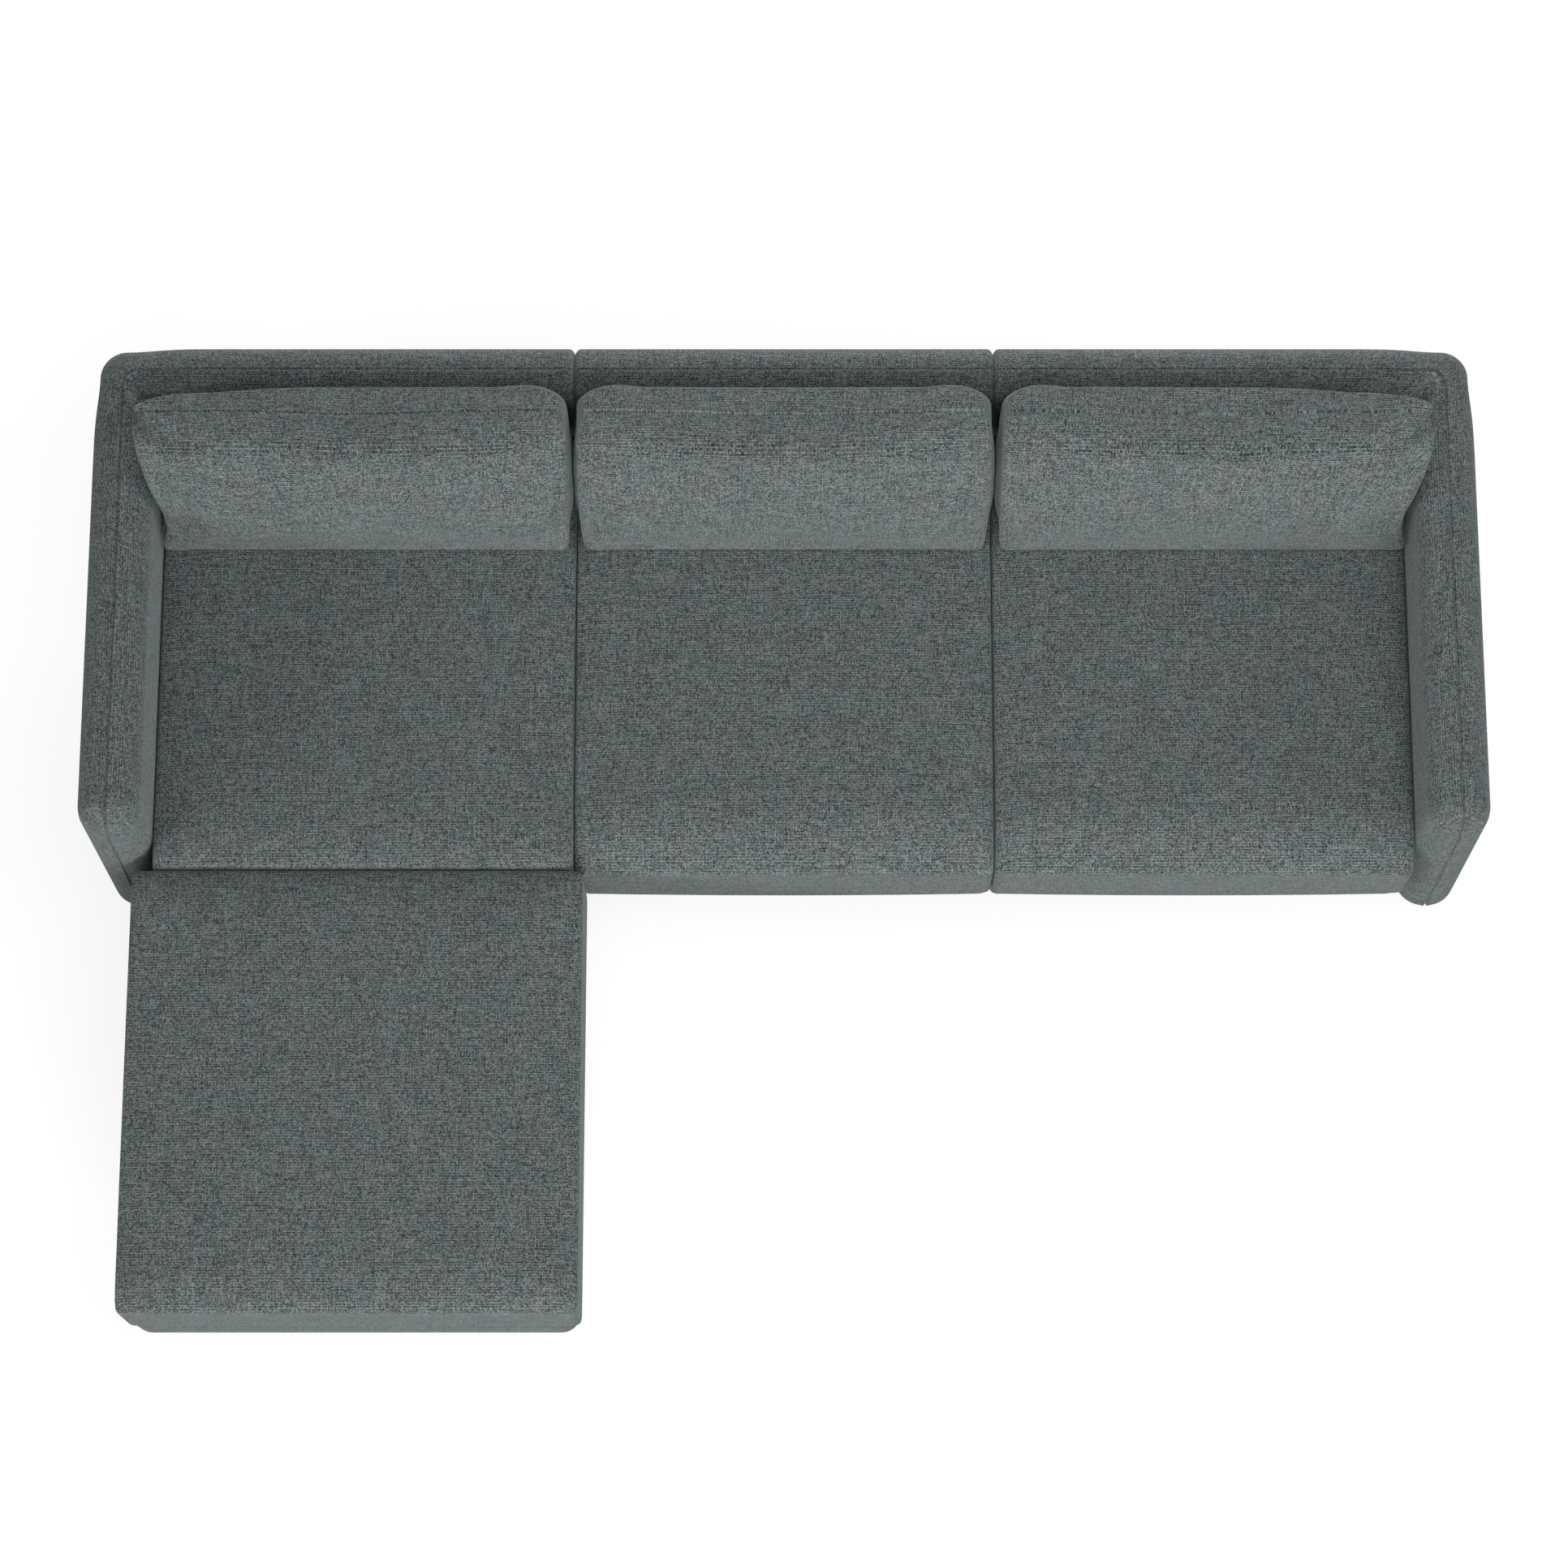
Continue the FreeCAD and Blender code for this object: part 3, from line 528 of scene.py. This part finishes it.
def straight_run(x0, x1):
    """Plan of the centre back, from end to end, how far each station draws in, and the seam's show."""
    short, drawn = end_rounding(7)
    middle = np.linspace(x0 + WALL_END, x1 - WALL_END, 60)
    x = np.concatenate([x0 + short[::-1], middle[1:-1], x1 - short])

    def plan(offset):
        across = np.broadcast_to(Y_BACK_MIDDLE - offset, (len(x), len(offset)))
        return np.stack([np.broadcast_to(x[:, None], across.shape), across], -1)

    return plan, np.concatenate([drawn[::-1], np.zeros(len(middle) - 2), drawn]), np.full(len(x), FAINT)


def wall_skin(plan, drawn, shown, arm_count):
    """Panels of a padded wall: its rim and faces, each side of the seam, its foot and its ends.

    Behind the brow a rim point lies at the plan's place for its offset, with its height the top
    less its depth.  On the arm's front it lies at the outline plus depth times the inward direction.
    """
    offset, depth, seam, arc = rim()
    foot = WALL_LOW.z
    shoulder = WALL_HIGH.z - NOSE
    has_arm = arm_count > 0
    outline, inward, bend_at = arm_outline()
    levels = np.linspace(foot, shoulder, bend_at + 1)
    faces, rims, feet, panels = [], [], [], []
    for hand in (-1, 1):
        shrink = (1 - drawn / HALF_WALL)[:, None, None]
        centre = plan(np.zeros(1))
        run = centre + (plan(hand * offset) - centre) * shrink
        height = WALL_HIGH.z - depth - shown[:, None] * seam - drawn[:, None]
        nose = np.concatenate([run, np.broadcast_to(height, run.shape[:2])[..., None]], -1)
        edge = nose[:, -1]
        length = np.concatenate([[0], np.cumsum(np.linalg.norm(np.diff(edge[:, :2], axis=0), axis=1))])
        length += outline[-1, 0] if has_arm else 0
        upwards = edge[:, 2:3] + 0 * depth + arc
        cloth = np.stack([np.broadcast_to(length[:, None], run.shape[:2]), upwards], -1)
        if has_arm:
            front = outline[:-1, None, :] + inward[:-1, None, :] * (depth + seam)[:, None]
            x = X_ARM_MIDDLE + hand * offset + 0 * front[..., 0]
            tangent = outline[:-1] + inward[:-1] * NOSE
            nose = np.concatenate([np.concatenate([x[..., None], front], -1), nose])
            wrap = tangent[:, None, :] - inward[:-1, None, :] * arc[:, None]
            cloth = np.concatenate([wrap, cloth])
        cut = PANEL_CUT * (hand > 0)
        panels.append((nose, cloth + cut))

        skip = len(outline) - 1 if has_arm else 0
        strip_from = skip + arm_count - 1 if has_arm else 0
        edge = nose[:, -1]
        strip = edge[strip_from:]
        share = (levels - foot) / (shoulder - foot)
        face = np.repeat(strip[:, None, :], len(levels), 1)
        face[..., 2] = foot + share * (strip[:, 2:3] - foot)
        face_length = length[arm_count - 1 if has_arm else 0:]
        face_cloth = np.stack([np.broadcast_to(face_length[:, None], face.shape[:2]), face[..., 2]], -1)
        panels.append((face, face_cloth + cut))
        bottom = face[:, 0]
        if has_arm:
            rise = edge[:bend_at + 1]
            top = edge[bend_at:strip_from + 1]
            share = ((top[:, 1] - top[0, 1]) / (top[-1, 1] - top[0, 1]))[:, None]
            low = rise[0] + share * (face[0, 0] - rise[0])
            arm_face = stitched_patch(low, top, rise, face[0])
            panels.append((arm_face, arm_face[..., 1:] + cut))
            bottom = np.concatenate([low[:-1], bottom])
        rims.append(nose)
        feet.append(bottom)
        faces.append(face)

    span = np.linspace(0, 1, 2 * len(offset) - 1)[:, None]
    if has_arm:
        toe = np.concatenate([rims[0][0, ::-1], rims[1][0, 1:]])
    else:
        toe = feet[0][0] + span * (feet[1][0] - feet[0][0])
    heel = feet[0][-1] + span * (feet[1][-1] - feet[0][-1])
    sole = stitched_patch(toe, heel, feet[0], feet[1])
    panels.append((sole, sole[..., :2]))
    for end in ((-1,) if has_arm else (0, -1)):
        crown = np.concatenate([rims[0][end, ::-1], rims[1][end, 1:]])
        base = sole[end]
        cap = stitched_patch(base, crown, faces[0][end], faces[1][end])
        panels.append((cap, cap[..., 1:]))
    return panels


JOINT = 0.0009                # cloth of neighbouring units all but touches
RIGHT_CUT = 3.1               # where on the roll these units' panels are cut
CENTRE_CUT = 7.7
left_panels = wall_skin(*corner_run(WALL_HIGH.x + JOINT))
sewn("left_wall", left_panels, "sofa", ["left_arm_back_cover"])
mirror = np.array([-1.0, 1.0, 1.0])
right_panels = [(place * mirror, cloth + RIGHT_CUT) for place, cloth in left_panels]
sewn("right_wall", right_panels, "sofa", ["right_arm_back_cover"])
centre_panels = wall_skin(*straight_run(BACK_LOW.x - JOINT, BACK_HIGH.x + JOINT), 0)
centre_panels = [(place, cloth + CENTRE_CUT) for place, cloth in centre_panels]
sewn("centre_wall", centre_panels, "sofa", ["centre_back_cover"])


# Seat cushions and the footstool's cushion
# Foam slabs wrapped in wadding lie loose on the decks.  Their cloth goes over the soft front
# edge in one piece, and the stuffing swells the faces until neighbouring cushions touch.

STUFFING_PRESSURE = 4.0
STUFFING_FRAMES = 20
SWELL = 0.024                 # the furthest a point of the cover moves
PRESS = 0.005                 # how much further the sides would swell if nothing stood beside them
CONTACT = 0.004               # depth over which a side flattens against its neighbour
REAR = (1, 1)                 # axis and hand of the side that always has something firm behind it


def eased(value, limit, margin):
    """A value that nears its limit as limit - margin * exp(-excess / margin)."""
    excess = np.maximum(value - (limit - margin), 0)
    return np.where(excess > 0, limit - margin * np.exp(-excess / margin), value)


def stuff(piece, low, high):
    """Blow the cover up by cloth pressure and cap each point's travel.

    The rise is scaled so that the crown just reaches the top, and no side is drawn inwards.  Each
    half is stretched or shrunk so that its widest point would press past the low or high corner,
    and then eased flat against it; the rear is never shrunk.
    """
    mesh = piece.data
    sewn_size = np.empty(len(mesh.vertices) * 3, np.float32)
    mesh.vertices.foreach_get("co", sewn_size)
    points = sewn_size.copy()
    cloth = piece.modifiers.new("stuffing", "CLOTH")
    cloth.settings.use_pressure = True
    cloth.settings.uniform_pressure_force = STUFFING_PRESSURE
    cloth.settings.effector_weights.gravity = 0
    cloth.point_cache.frame_end = STUFFING_FRAMES
    for number in range(1, STUFFING_FRAMES + 1):
        bpy.context.scene.frame_set(number)
    blown = piece.evaluated_get(bpy.context.evaluated_depsgraph_get()).data
    blown.vertices.foreach_get("co", points)
    piece.modifiers.remove(cloth)
    bpy.context.scene.frame_set(1)
    sewn_size = sewn_size.reshape(-1, 3)
    travel = points.reshape(-1, 3) - sewn_size
    reach = np.linalg.norm(travel, axis=1, keepdims=True)
    travel *= np.minimum(1, SWELL / np.maximum(reach, 1e-9))
    crown = sewn_size[:, 2].max()
    rise = (sewn_size + travel)[:, 2].max() - crown
    travel[:, 2] *= np.where(travel[:, 2] > 0, min(1, (high[2] - crown) / max(rise, 1e-9)), 1)
    points = sewn_size + travel
    for axis in (0, 1):
        middle = (low[axis] + high[axis]) / 2
        room = (high[axis] - low[axis]) / 2
        for hand in (-1, 1):
            sewn_out = hand * (sewn_size[:, axis] - middle)
            out = np.maximum(hand * (points[:, axis] - middle), sewn_out)
            stretch = (room + PRESS) / out.max()
            stretch = max(stretch, 1) if (axis, hand) == REAR else stretch
            pressed = eased(out * stretch, room, CONTACT)
            points[:, axis] = np.where(sewn_out > 0, middle + hand * pressed, points[:, axis])
    points[:, 2] = -eased(-points[:, 2], -low[2], CONTACT)
    mesh.vertices.foreach_set("co", points.astype(np.float32).ravel())
    mesh.update()


def smooth_once(piece):
    """One level of subdivision, the same when drawn and when rendered."""
    smoothing = piece.modifiers.new("smooth_cloth", "SUBSURF")
    smoothing.levels = 1
    smoothing.render_levels = 1


SEAT_TUCK = 0.004             # the cover is sewn this much smaller than the cushion's place
SHOULDER_IN = 0.015           # rounding of the upper edges, inwards
SHOULDER_DOWN = 0.012         # and downwards
CROWN_START = 0.006           # how far below the finished crown the cover is sewn
LOWER_EDGE = 0.014            # rounding of the lower edges
CROWN_POWER = 2.3             # how quickly the crown flattens away from a side
LEAST_CORNER = 0.008


def seat_cushion(name, node, body, corner, spread, crown, cloth_offset):
    """Boxed cushion: a flat underside, upright sides, round shoulders and a crowned top.

    The top lies below its crown by fall * (1 - distance / reach)^power near each side, all four
    added up.  Spread is how far the stuffed cloth reaches beyond the modelled cushion and crown the
    (fall, reach), both for the left, right, front and rear.
    """
    low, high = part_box(node)
    low = np.array(low) - [spread[0], spread[2], 0]
    high = np.array(high) + [spread[1], spread[3], 0]
    turn = np.radians(np.linspace(0, 90, 6))
    upright = np.linspace(0, 1, 7)[1:-1]
    side_low = low[2] + LOWER_EDGE
    side_high = high[2] - CROWN_START - SHOULDER_DOWN
    inset = SEAT_TUCK + np.concatenate([
        LOWER_EDGE * (1 - np.cos(turn[::-1])), 0 * upright, SHOULDER_IN * (1 - np.cos(turn)),
    ])
    z = np.concatenate([
        side_low - LOWER_EDGE * np.sin(turn[::-1]), side_low + upright * (side_high - side_low),
        side_high + SHOULDER_DOWN * np.sin(turn),
    ])
    bound = np.maximum(corner - inset * 0.4, LEAST_CORNER)
    skin, outward, starts = round_box(
        low[0] + inset, high[0] - inset, low[1] + inset, high[1] - inset, z, bound, (bound, bound),
        wide=34, deep=34, bend=4,
    )
    edge = skin[-1, :, :2]
    falls, reaches = np.array(crown).T

    def sag(place):
        """How far a point of the top lies below the crown."""
        room = np.stack([place - edge.min(0), edge.max(0) - place], -1)
        room = room.reshape(*place.shape[:-1], 4)
        return (falls * np.clip(1 - room / reaches, 0, None) ** CROWN_POWER).sum(-1)

    cover, flat = lid(skin[-1], starts)
    cover[..., 2] -= sag(flat)
    lifted = np.clip((z - side_low) / (side_high - side_low), 0, 1)
    skin[..., 2] -= lifted[:, None] * sag(skin[..., :2])
    drop = np.concatenate([[0], np.cumsum(np.hypot(np.diff(inset), np.diff(z)))])
    drop = (drop[-1] - drop)[:, None]
    wrapped = edge + outward * drop[..., None]
    around = girth(skin[len(turn)]) + edge[0, 0]
    band = np.stack(np.broadcast_arrays(around, edge[0, 1] - drop), -1)
    split = len(z) - len(turn)
    panels = [
        (skin[:split + 1], band[:split + 1] + cloth_offset), (skin[split:], wrapped[split:] + cloth_offset),
        (cover, flat + cloth_offset), lid(skin[0], starts),
    ]
    piece, _ = sewn(name, panels, body, [node])
    stuff(piece, low, high)
    smooth_once(piece)


SEAT_SPREAD = {
    "left": (0.0022, 0.0039, 0.0054, 0.0005), "centre": (0.0039, 0.0039, 0.009, 0.0005),
    "right": (0.0039, 0.0022, 0.009, 0.0005),
}
SIDE_CROWN = (0.005, 0.050)
SOFT_FRONT = (0.029, 0.115)
STOOL_FRONT = (0.009, 0.060)
CLOSED_CORNER = 0.016         # corners of the seat that the footstool closes off
OPEN_CORNER = 0.030
SEAT_CUT = 0.37               # step on the roll from one seat's cloth to the next
STOOL_CUT = 1.9
for number, unit in enumerate(UNITS):
    closed = unit == "left"
    front = SIDE_CROWN if closed else SOFT_FRONT
    seat_cushion(
        f"{unit}_seat", f"{unit}_seat_cushion_cover", f"{unit}_seat_cushion",
        CLOSED_CORNER if closed else OPEN_CORNER, SEAT_SPREAD[unit],
        (SIDE_CROWN, SIDE_CROWN, front, SIDE_CROWN), SEAT_CUT * number,
    )
STOOL_SPREAD = (-0.0045, 0.008, 0.004, 0.0003)
STOOL_CROWN = (SIDE_CROWN, SIDE_CROWN, STOOL_FRONT, SIDE_CROWN)
seat_cushion(
    "footstool_top", "footstool_cushion_cover", "footstool_cushion",
    OPEN_CORNER, STOOL_SPREAD, STOOL_CROWN, STOOL_CUT,
)


# Back cushions
# Plump wedges of fibre lean on the backs and stand on the seats, thick below and rolled over at
# the top.  A seam joins the front panel to the gusset along the top and down both ends.

FOOT_ROUND = 0.022            # rounding of the ends where they meet the seat
FRONT_ROUND = 0.010           # rounding under the front
FRONT_OUT = 0.002             # the stuffed front stands this far before the modelled one
FRONT_FOOT = 0.032            # the sewn front leans out to its foot by this much more
TOP_ROLL = 0.020              # rounding at the very top
TOP_START = 0.004             # how far below the finished top the cover is sewn
TOP_DEPTH = 0.074             # depth of the cushion at its top
SEWN_CORNER = 0.014           # upright corners of the front, and of the rear at the seat
REAR_CORNER = (0.085, 0.042)  # bend of the rear corners at the top, along the back and across it
EAR_TAPER = 0.6               # share of its depth that the top loses towards an arm
EAR_DROP = 0.004
GUSSET = 0.0014               # depth of the gusset's seam
GUSSET_LEVEL = -5             # level outline that it runs along, counted from the top
WEAVE_LEVEL = 6               # level outline along which the weave is measured
LEAN_PRESS = 0.001            # the stuffed rear presses this far towards the back


def quarter(height, radius):
    """How far a round edge draws in at a height above its foot: radius - sqrt(r^2 - (r - h)^2)."""
    short = np.clip(1 - height / radius, 0, 1)
    return radius * (1 - np.sqrt(1 - short ** 2))


def back_cushion(name, node, body, left, right, cloth_offset):
    """Wedge in level outlines: its depth falls from the seat to the top as (1 - rise^3)^(3/4).

    Left and right each give the face beside the end, the end's room to it by share of the rise,
    whether the end tapers to a pointed ear, by (share of the half width)^2.5 * rise^6, and how far
    out the stuffed end may reach.
    """
    left_face, left_room, left_ear, left_limit = left
    right_face, right_room, right_ear, right_limit = right
    low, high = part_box(node)
    rise = np.concatenate([np.linspace(0, 0.06, 4), np.linspace(0.1, 0.88, 15), np.linspace(0.91, 1, 6)])
    climb = rise * (high.z - low.z - TOP_START)
    depth = TOP_DEPTH + (high.y - low.y + FRONT_OUT - TOP_DEPTH) * (1 - rise ** 3) ** (3 / 4)
    crest = quarter(climb[-1] - climb, TOP_ROLL)
    foot = quarter(climb, FOOT_ROUND)
    y0 = high.y - depth - FRONT_FOOT * (1 - rise) ** 4 + quarter(climb, FRONT_ROUND) + crest
    y1 = high.y - quarter(climb, FRONT_ROUND) - crest * 0.25
    x0 = left_face + np.interp(rise, *np.array(left_room).T) + foot + crest * 0.5 * (1 - left_ear)
    x1 = right_face - np.interp(rise, *np.array(right_room).T) - foot - crest * 0.5 * (1 - right_ear)
    rear_x = SEWN_CORNER + (REAR_CORNER[0] - SEWN_CORNER) * np.sqrt(rise)
    rear_y = SEWN_CORNER + (REAR_CORNER[1] - SEWN_CORNER) * np.sqrt(rise)
    rear_y = np.minimum(rear_y, (y1 - y0) * 0.65)
    front_corner = np.minimum(SEWN_CORNER, (y1 - y0) * 0.2)
    skin, _, starts = round_box(
        x0, x1, y0, y1, low.z + climb, front_corner, (rear_x, rear_y), wide=40, deep=11, bend=5,
    )
    share = (2 * skin[..., 0] - (x0 + x1)[:, None]) / (x1 - x0)[:, None]
    ear = np.where(share < 0, left_ear, right_ear) * np.abs(share) ** 2.5 * (rise ** 6)[:, None]
    skin[..., 1] -= EAR_TAPER * ear * (skin[..., 1] - y0[:, None])
    skin[..., 2] -= EAR_DROP * ear
    up = np.concatenate([[0], np.cumsum(np.hypot(np.diff(y0), np.diff(climb)))])
    around = girth(skin[WEAVE_LEVEL])
    cloth = np.stack(np.broadcast_arrays(around, up[:, None]), -1) + cloth_offset
    top, flat = lid(skin[-1], starts)
    panels = [(skin, cloth), (top, flat + cloth_offset), lid(skin[0], starts)]
    piece, vertex = sewn(name, panels, body, [node])
    stuff(piece, (left_limit, low.y - FRONT_OUT, low.z), (right_limit, high.y + LEAN_PRESS, high.z))
    points = np.empty(len(piece.data.vertices) * 3, np.float32)
    piece.data.vertices.foreach_get("co", points)
    seam = vertex[:skin[..., 0].size].reshape(skin.shape[:2])[GUSSET_LEVEL, :starts[1] + 1]
    seam = np.unique(seam)
    points[seam * 3 + 1] += GUSSET
    piece.data.vertices.foreach_set("co", points)
    smooth_once(piece)


# Ends of a back cushion as (share of the rise, room to the arm's face or to the joint): beside an
# arm the end slants out over it to a pointed ear, and beside the next cushion the two touch.
ARM_END = (
    (0, 0.002), (0.1, 0.011), (0.25, 0.022), (0.45, 0.020), (0.6, 0.010), (0.75, -0.001), (0.88, -0.011),
    (0.95, -0.017), (1, -0.025),
)
JOINT_END = ((0, 0.006), (0.2, 0.003), (0.5, 0.001), (0.8, 0.0), (0.93, 0.001), (1, 0.004))
PAST_ARM = 0.023              # how far a stuffed end reaches out over the arm
PAST_JOINT = 0.0008           # and past a joint
BACK_CUT = 0.61               # step on the roll from one back's cloth to the next
for number, unit in enumerate(UNITS):
    base_low, base_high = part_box(f"{unit}_base_cover")
    arms = (unit == "left", unit == "right")
    ends = [ARM_END if arm else JOINT_END for arm in arms]
    past = [PAST_ARM if arm else PAST_JOINT for arm in arms]
    back_cushion(
        f"{unit}_back", f"{unit}_back_cushion_cover", f"{unit}_back_cushion",
        (base_low.x, ends[0], arms[0], base_low.x - past[0]),
        (base_high.x, ends[1], arms[1], base_high.x + past[1]), BACK_CUT * number,
    )


# Studio
# A white floor that keeps a soft shadow, a large soft lamp before the sofa, weaker ones above it and
# round it and a pale sky, all seen by a long lens from high above the front.

def white_backdrop(tree, lit, white):
    """Shader that is white to the camera, gloss and glass, and lit to everything else."""
    start = Finish(tree)
    seen = start.node("ShaderNodeLightPath")
    plain = seen + seen.also(3) + seen.also(6)
    share = plain.maths("MINIMUM", plain, 1.0)
    return start.node("ShaderNodeMixShader", None, {0: share, 1: lit, 2: white})


FLOOR_HALF = 14.0
FLOOR_BOUNCE = 0.2            # how much of its light the paper gives back to the sofa
FLOOR_GLOW = 1.2              # light that the white floor shows of itself
FLOOR_SHADOW = 0.31           # share of the lamps' light and shade that shows on the white floor
corners = FLOOR_HALF * np.array([(-1, -1, 0), (1, -1, 0), (1, 1, 0), (-1, 1, 0)], float)
floor_mesh = bpy.data.meshes.new("studio_floor")
floor_mesh.from_pydata(corners, [], [(0, 1, 2, 3)])
floor = bpy.data.objects.new("studio_floor", floor_mesh)
bpy.context.scene.collection.objects.link(floor)
paper = bpy.data.materials.new("studio_paper")
paper.use_nodes = True
paper.node_tree.nodes.clear()
start = Finish(paper.node_tree)
lit = start.node("ShaderNodeBsdfDiffuse", None, {0: (0.86, 0.86, 0.86, 1)})
grey = start.node("ShaderNodeBsdfDiffuse", None, {0: (FLOOR_BOUNCE, FLOOR_BOUNCE, FLOOR_BOUNCE, 1)})
glow = start.node("ShaderNodeEmission", None, {0: (1, 1, 1, 1), 1: FLOOR_GLOW})
white = start.node("ShaderNodeMixShader", None, {0: FLOOR_SHADOW, 1: glow, 2: lit})
output = paper.node_tree.nodes.new("ShaderNodeOutputMaterial")
paper.node_tree.links.new(white_backdrop(paper.node_tree, grey, white).socket, output.inputs[0])
floor_mesh.materials.append(paper)

SKY_LEVEL = 0.16              # light that the sky gives the sofa
world = bpy.data.worlds.new("studio_sky")
world.use_nodes = True
world.node_tree.nodes.clear()
start = Finish(world.node_tree)
sky = start.node("ShaderNodeBackground", None, {0: (1, 1, 1, 1), 1: SKY_LEVEL})
clear = start.node("ShaderNodeBackground", None, {0: (1, 1, 1, 1), 1: 1.0})
output = world.node_tree.nodes.new("ShaderNodeOutputWorld")
world.node_tree.links.new(white_backdrop(world.node_tree, sky, clear).socket, output.inputs[0])
bpy.context.scene.world = world


def aimed(name, data, place, target):
    """Lamp or camera at a place, its -Z axis towards a target and its Y axis as upright as it can be."""
    item = bpy.data.objects.new(name, data)
    back = np.array(place) - np.array(target)
    back = back / np.linalg.norm(back)
    side = np.cross([0, 0, 1], back)
    side = side / np.linalg.norm(side)
    up = np.cross(back, side)
    item.matrix_world = Matrix([(side[i], up[i], back[i], place[i]) for i in range(3)] + [(0, 0, 0, 1)])
    bpy.context.scene.collection.objects.link(item)
    return item


def soft_lamp(name, size, energy, place, target):
    """Wide lamp behind a soft screen, aimed at a target."""
    lamp = bpy.data.lights.new(name, "AREA")
    lamp.shape = "RECTANGLE"
    lamp.size, lamp.size_y = size
    lamp.energy = energy
    aimed(name, lamp, place, target)


SOFA_MIDDLE = (0.0, 0.1, 0.4)
soft_lamp("front_lamp", (5.0, 2.4), 660, (1.1, -8.9, 3.5), SOFA_MIDDLE)
soft_lamp("high_lamp", (3.0, 1.4), 42, (0.6, -0.3, 3.5), (0.1, 0.5, 0.5))
soft_lamp("left_lamp", (3.0, 2.0), 150, (-6.5, -3.0, 2.6), SOFA_MIDDLE)
soft_lamp("right_lamp", (3.0, 2.0), 90, (6.5, -2.0, 2.6), SOFA_MIDDLE)
soft_lamp("rear_lamp", (3.4, 0.6), 105, (0.3, 4.0, 1.1), (0.0, 0.8, 0.6))

LOOK_AT = np.array([0.0, 0.0835, 0.44])
VIEW_ELEVATION = math.radians(75)
VIEW_DISTANCE = 7.525
FOCAL_PIXELS = 5200           # focal length on the photo, which is PHOTO_PIXELS wide
PHOTO_PIXELS = 1932
lens = bpy.data.cameras.new("studio_camera")
lens.sensor_width = 36
lens.lens = FOCAL_PIXELS / PHOTO_PIXELS * lens.sensor_width
reach = VIEW_DISTANCE * np.array([0, -math.cos(VIEW_ELEVATION), math.sin(VIEW_ELEVATION)])
bpy.context.scene.camera = aimed("studio_camera", lens, LOOK_AT + reach, LOOK_AT)
bpy.context.scene.view_settings.view_transform = "Standard"
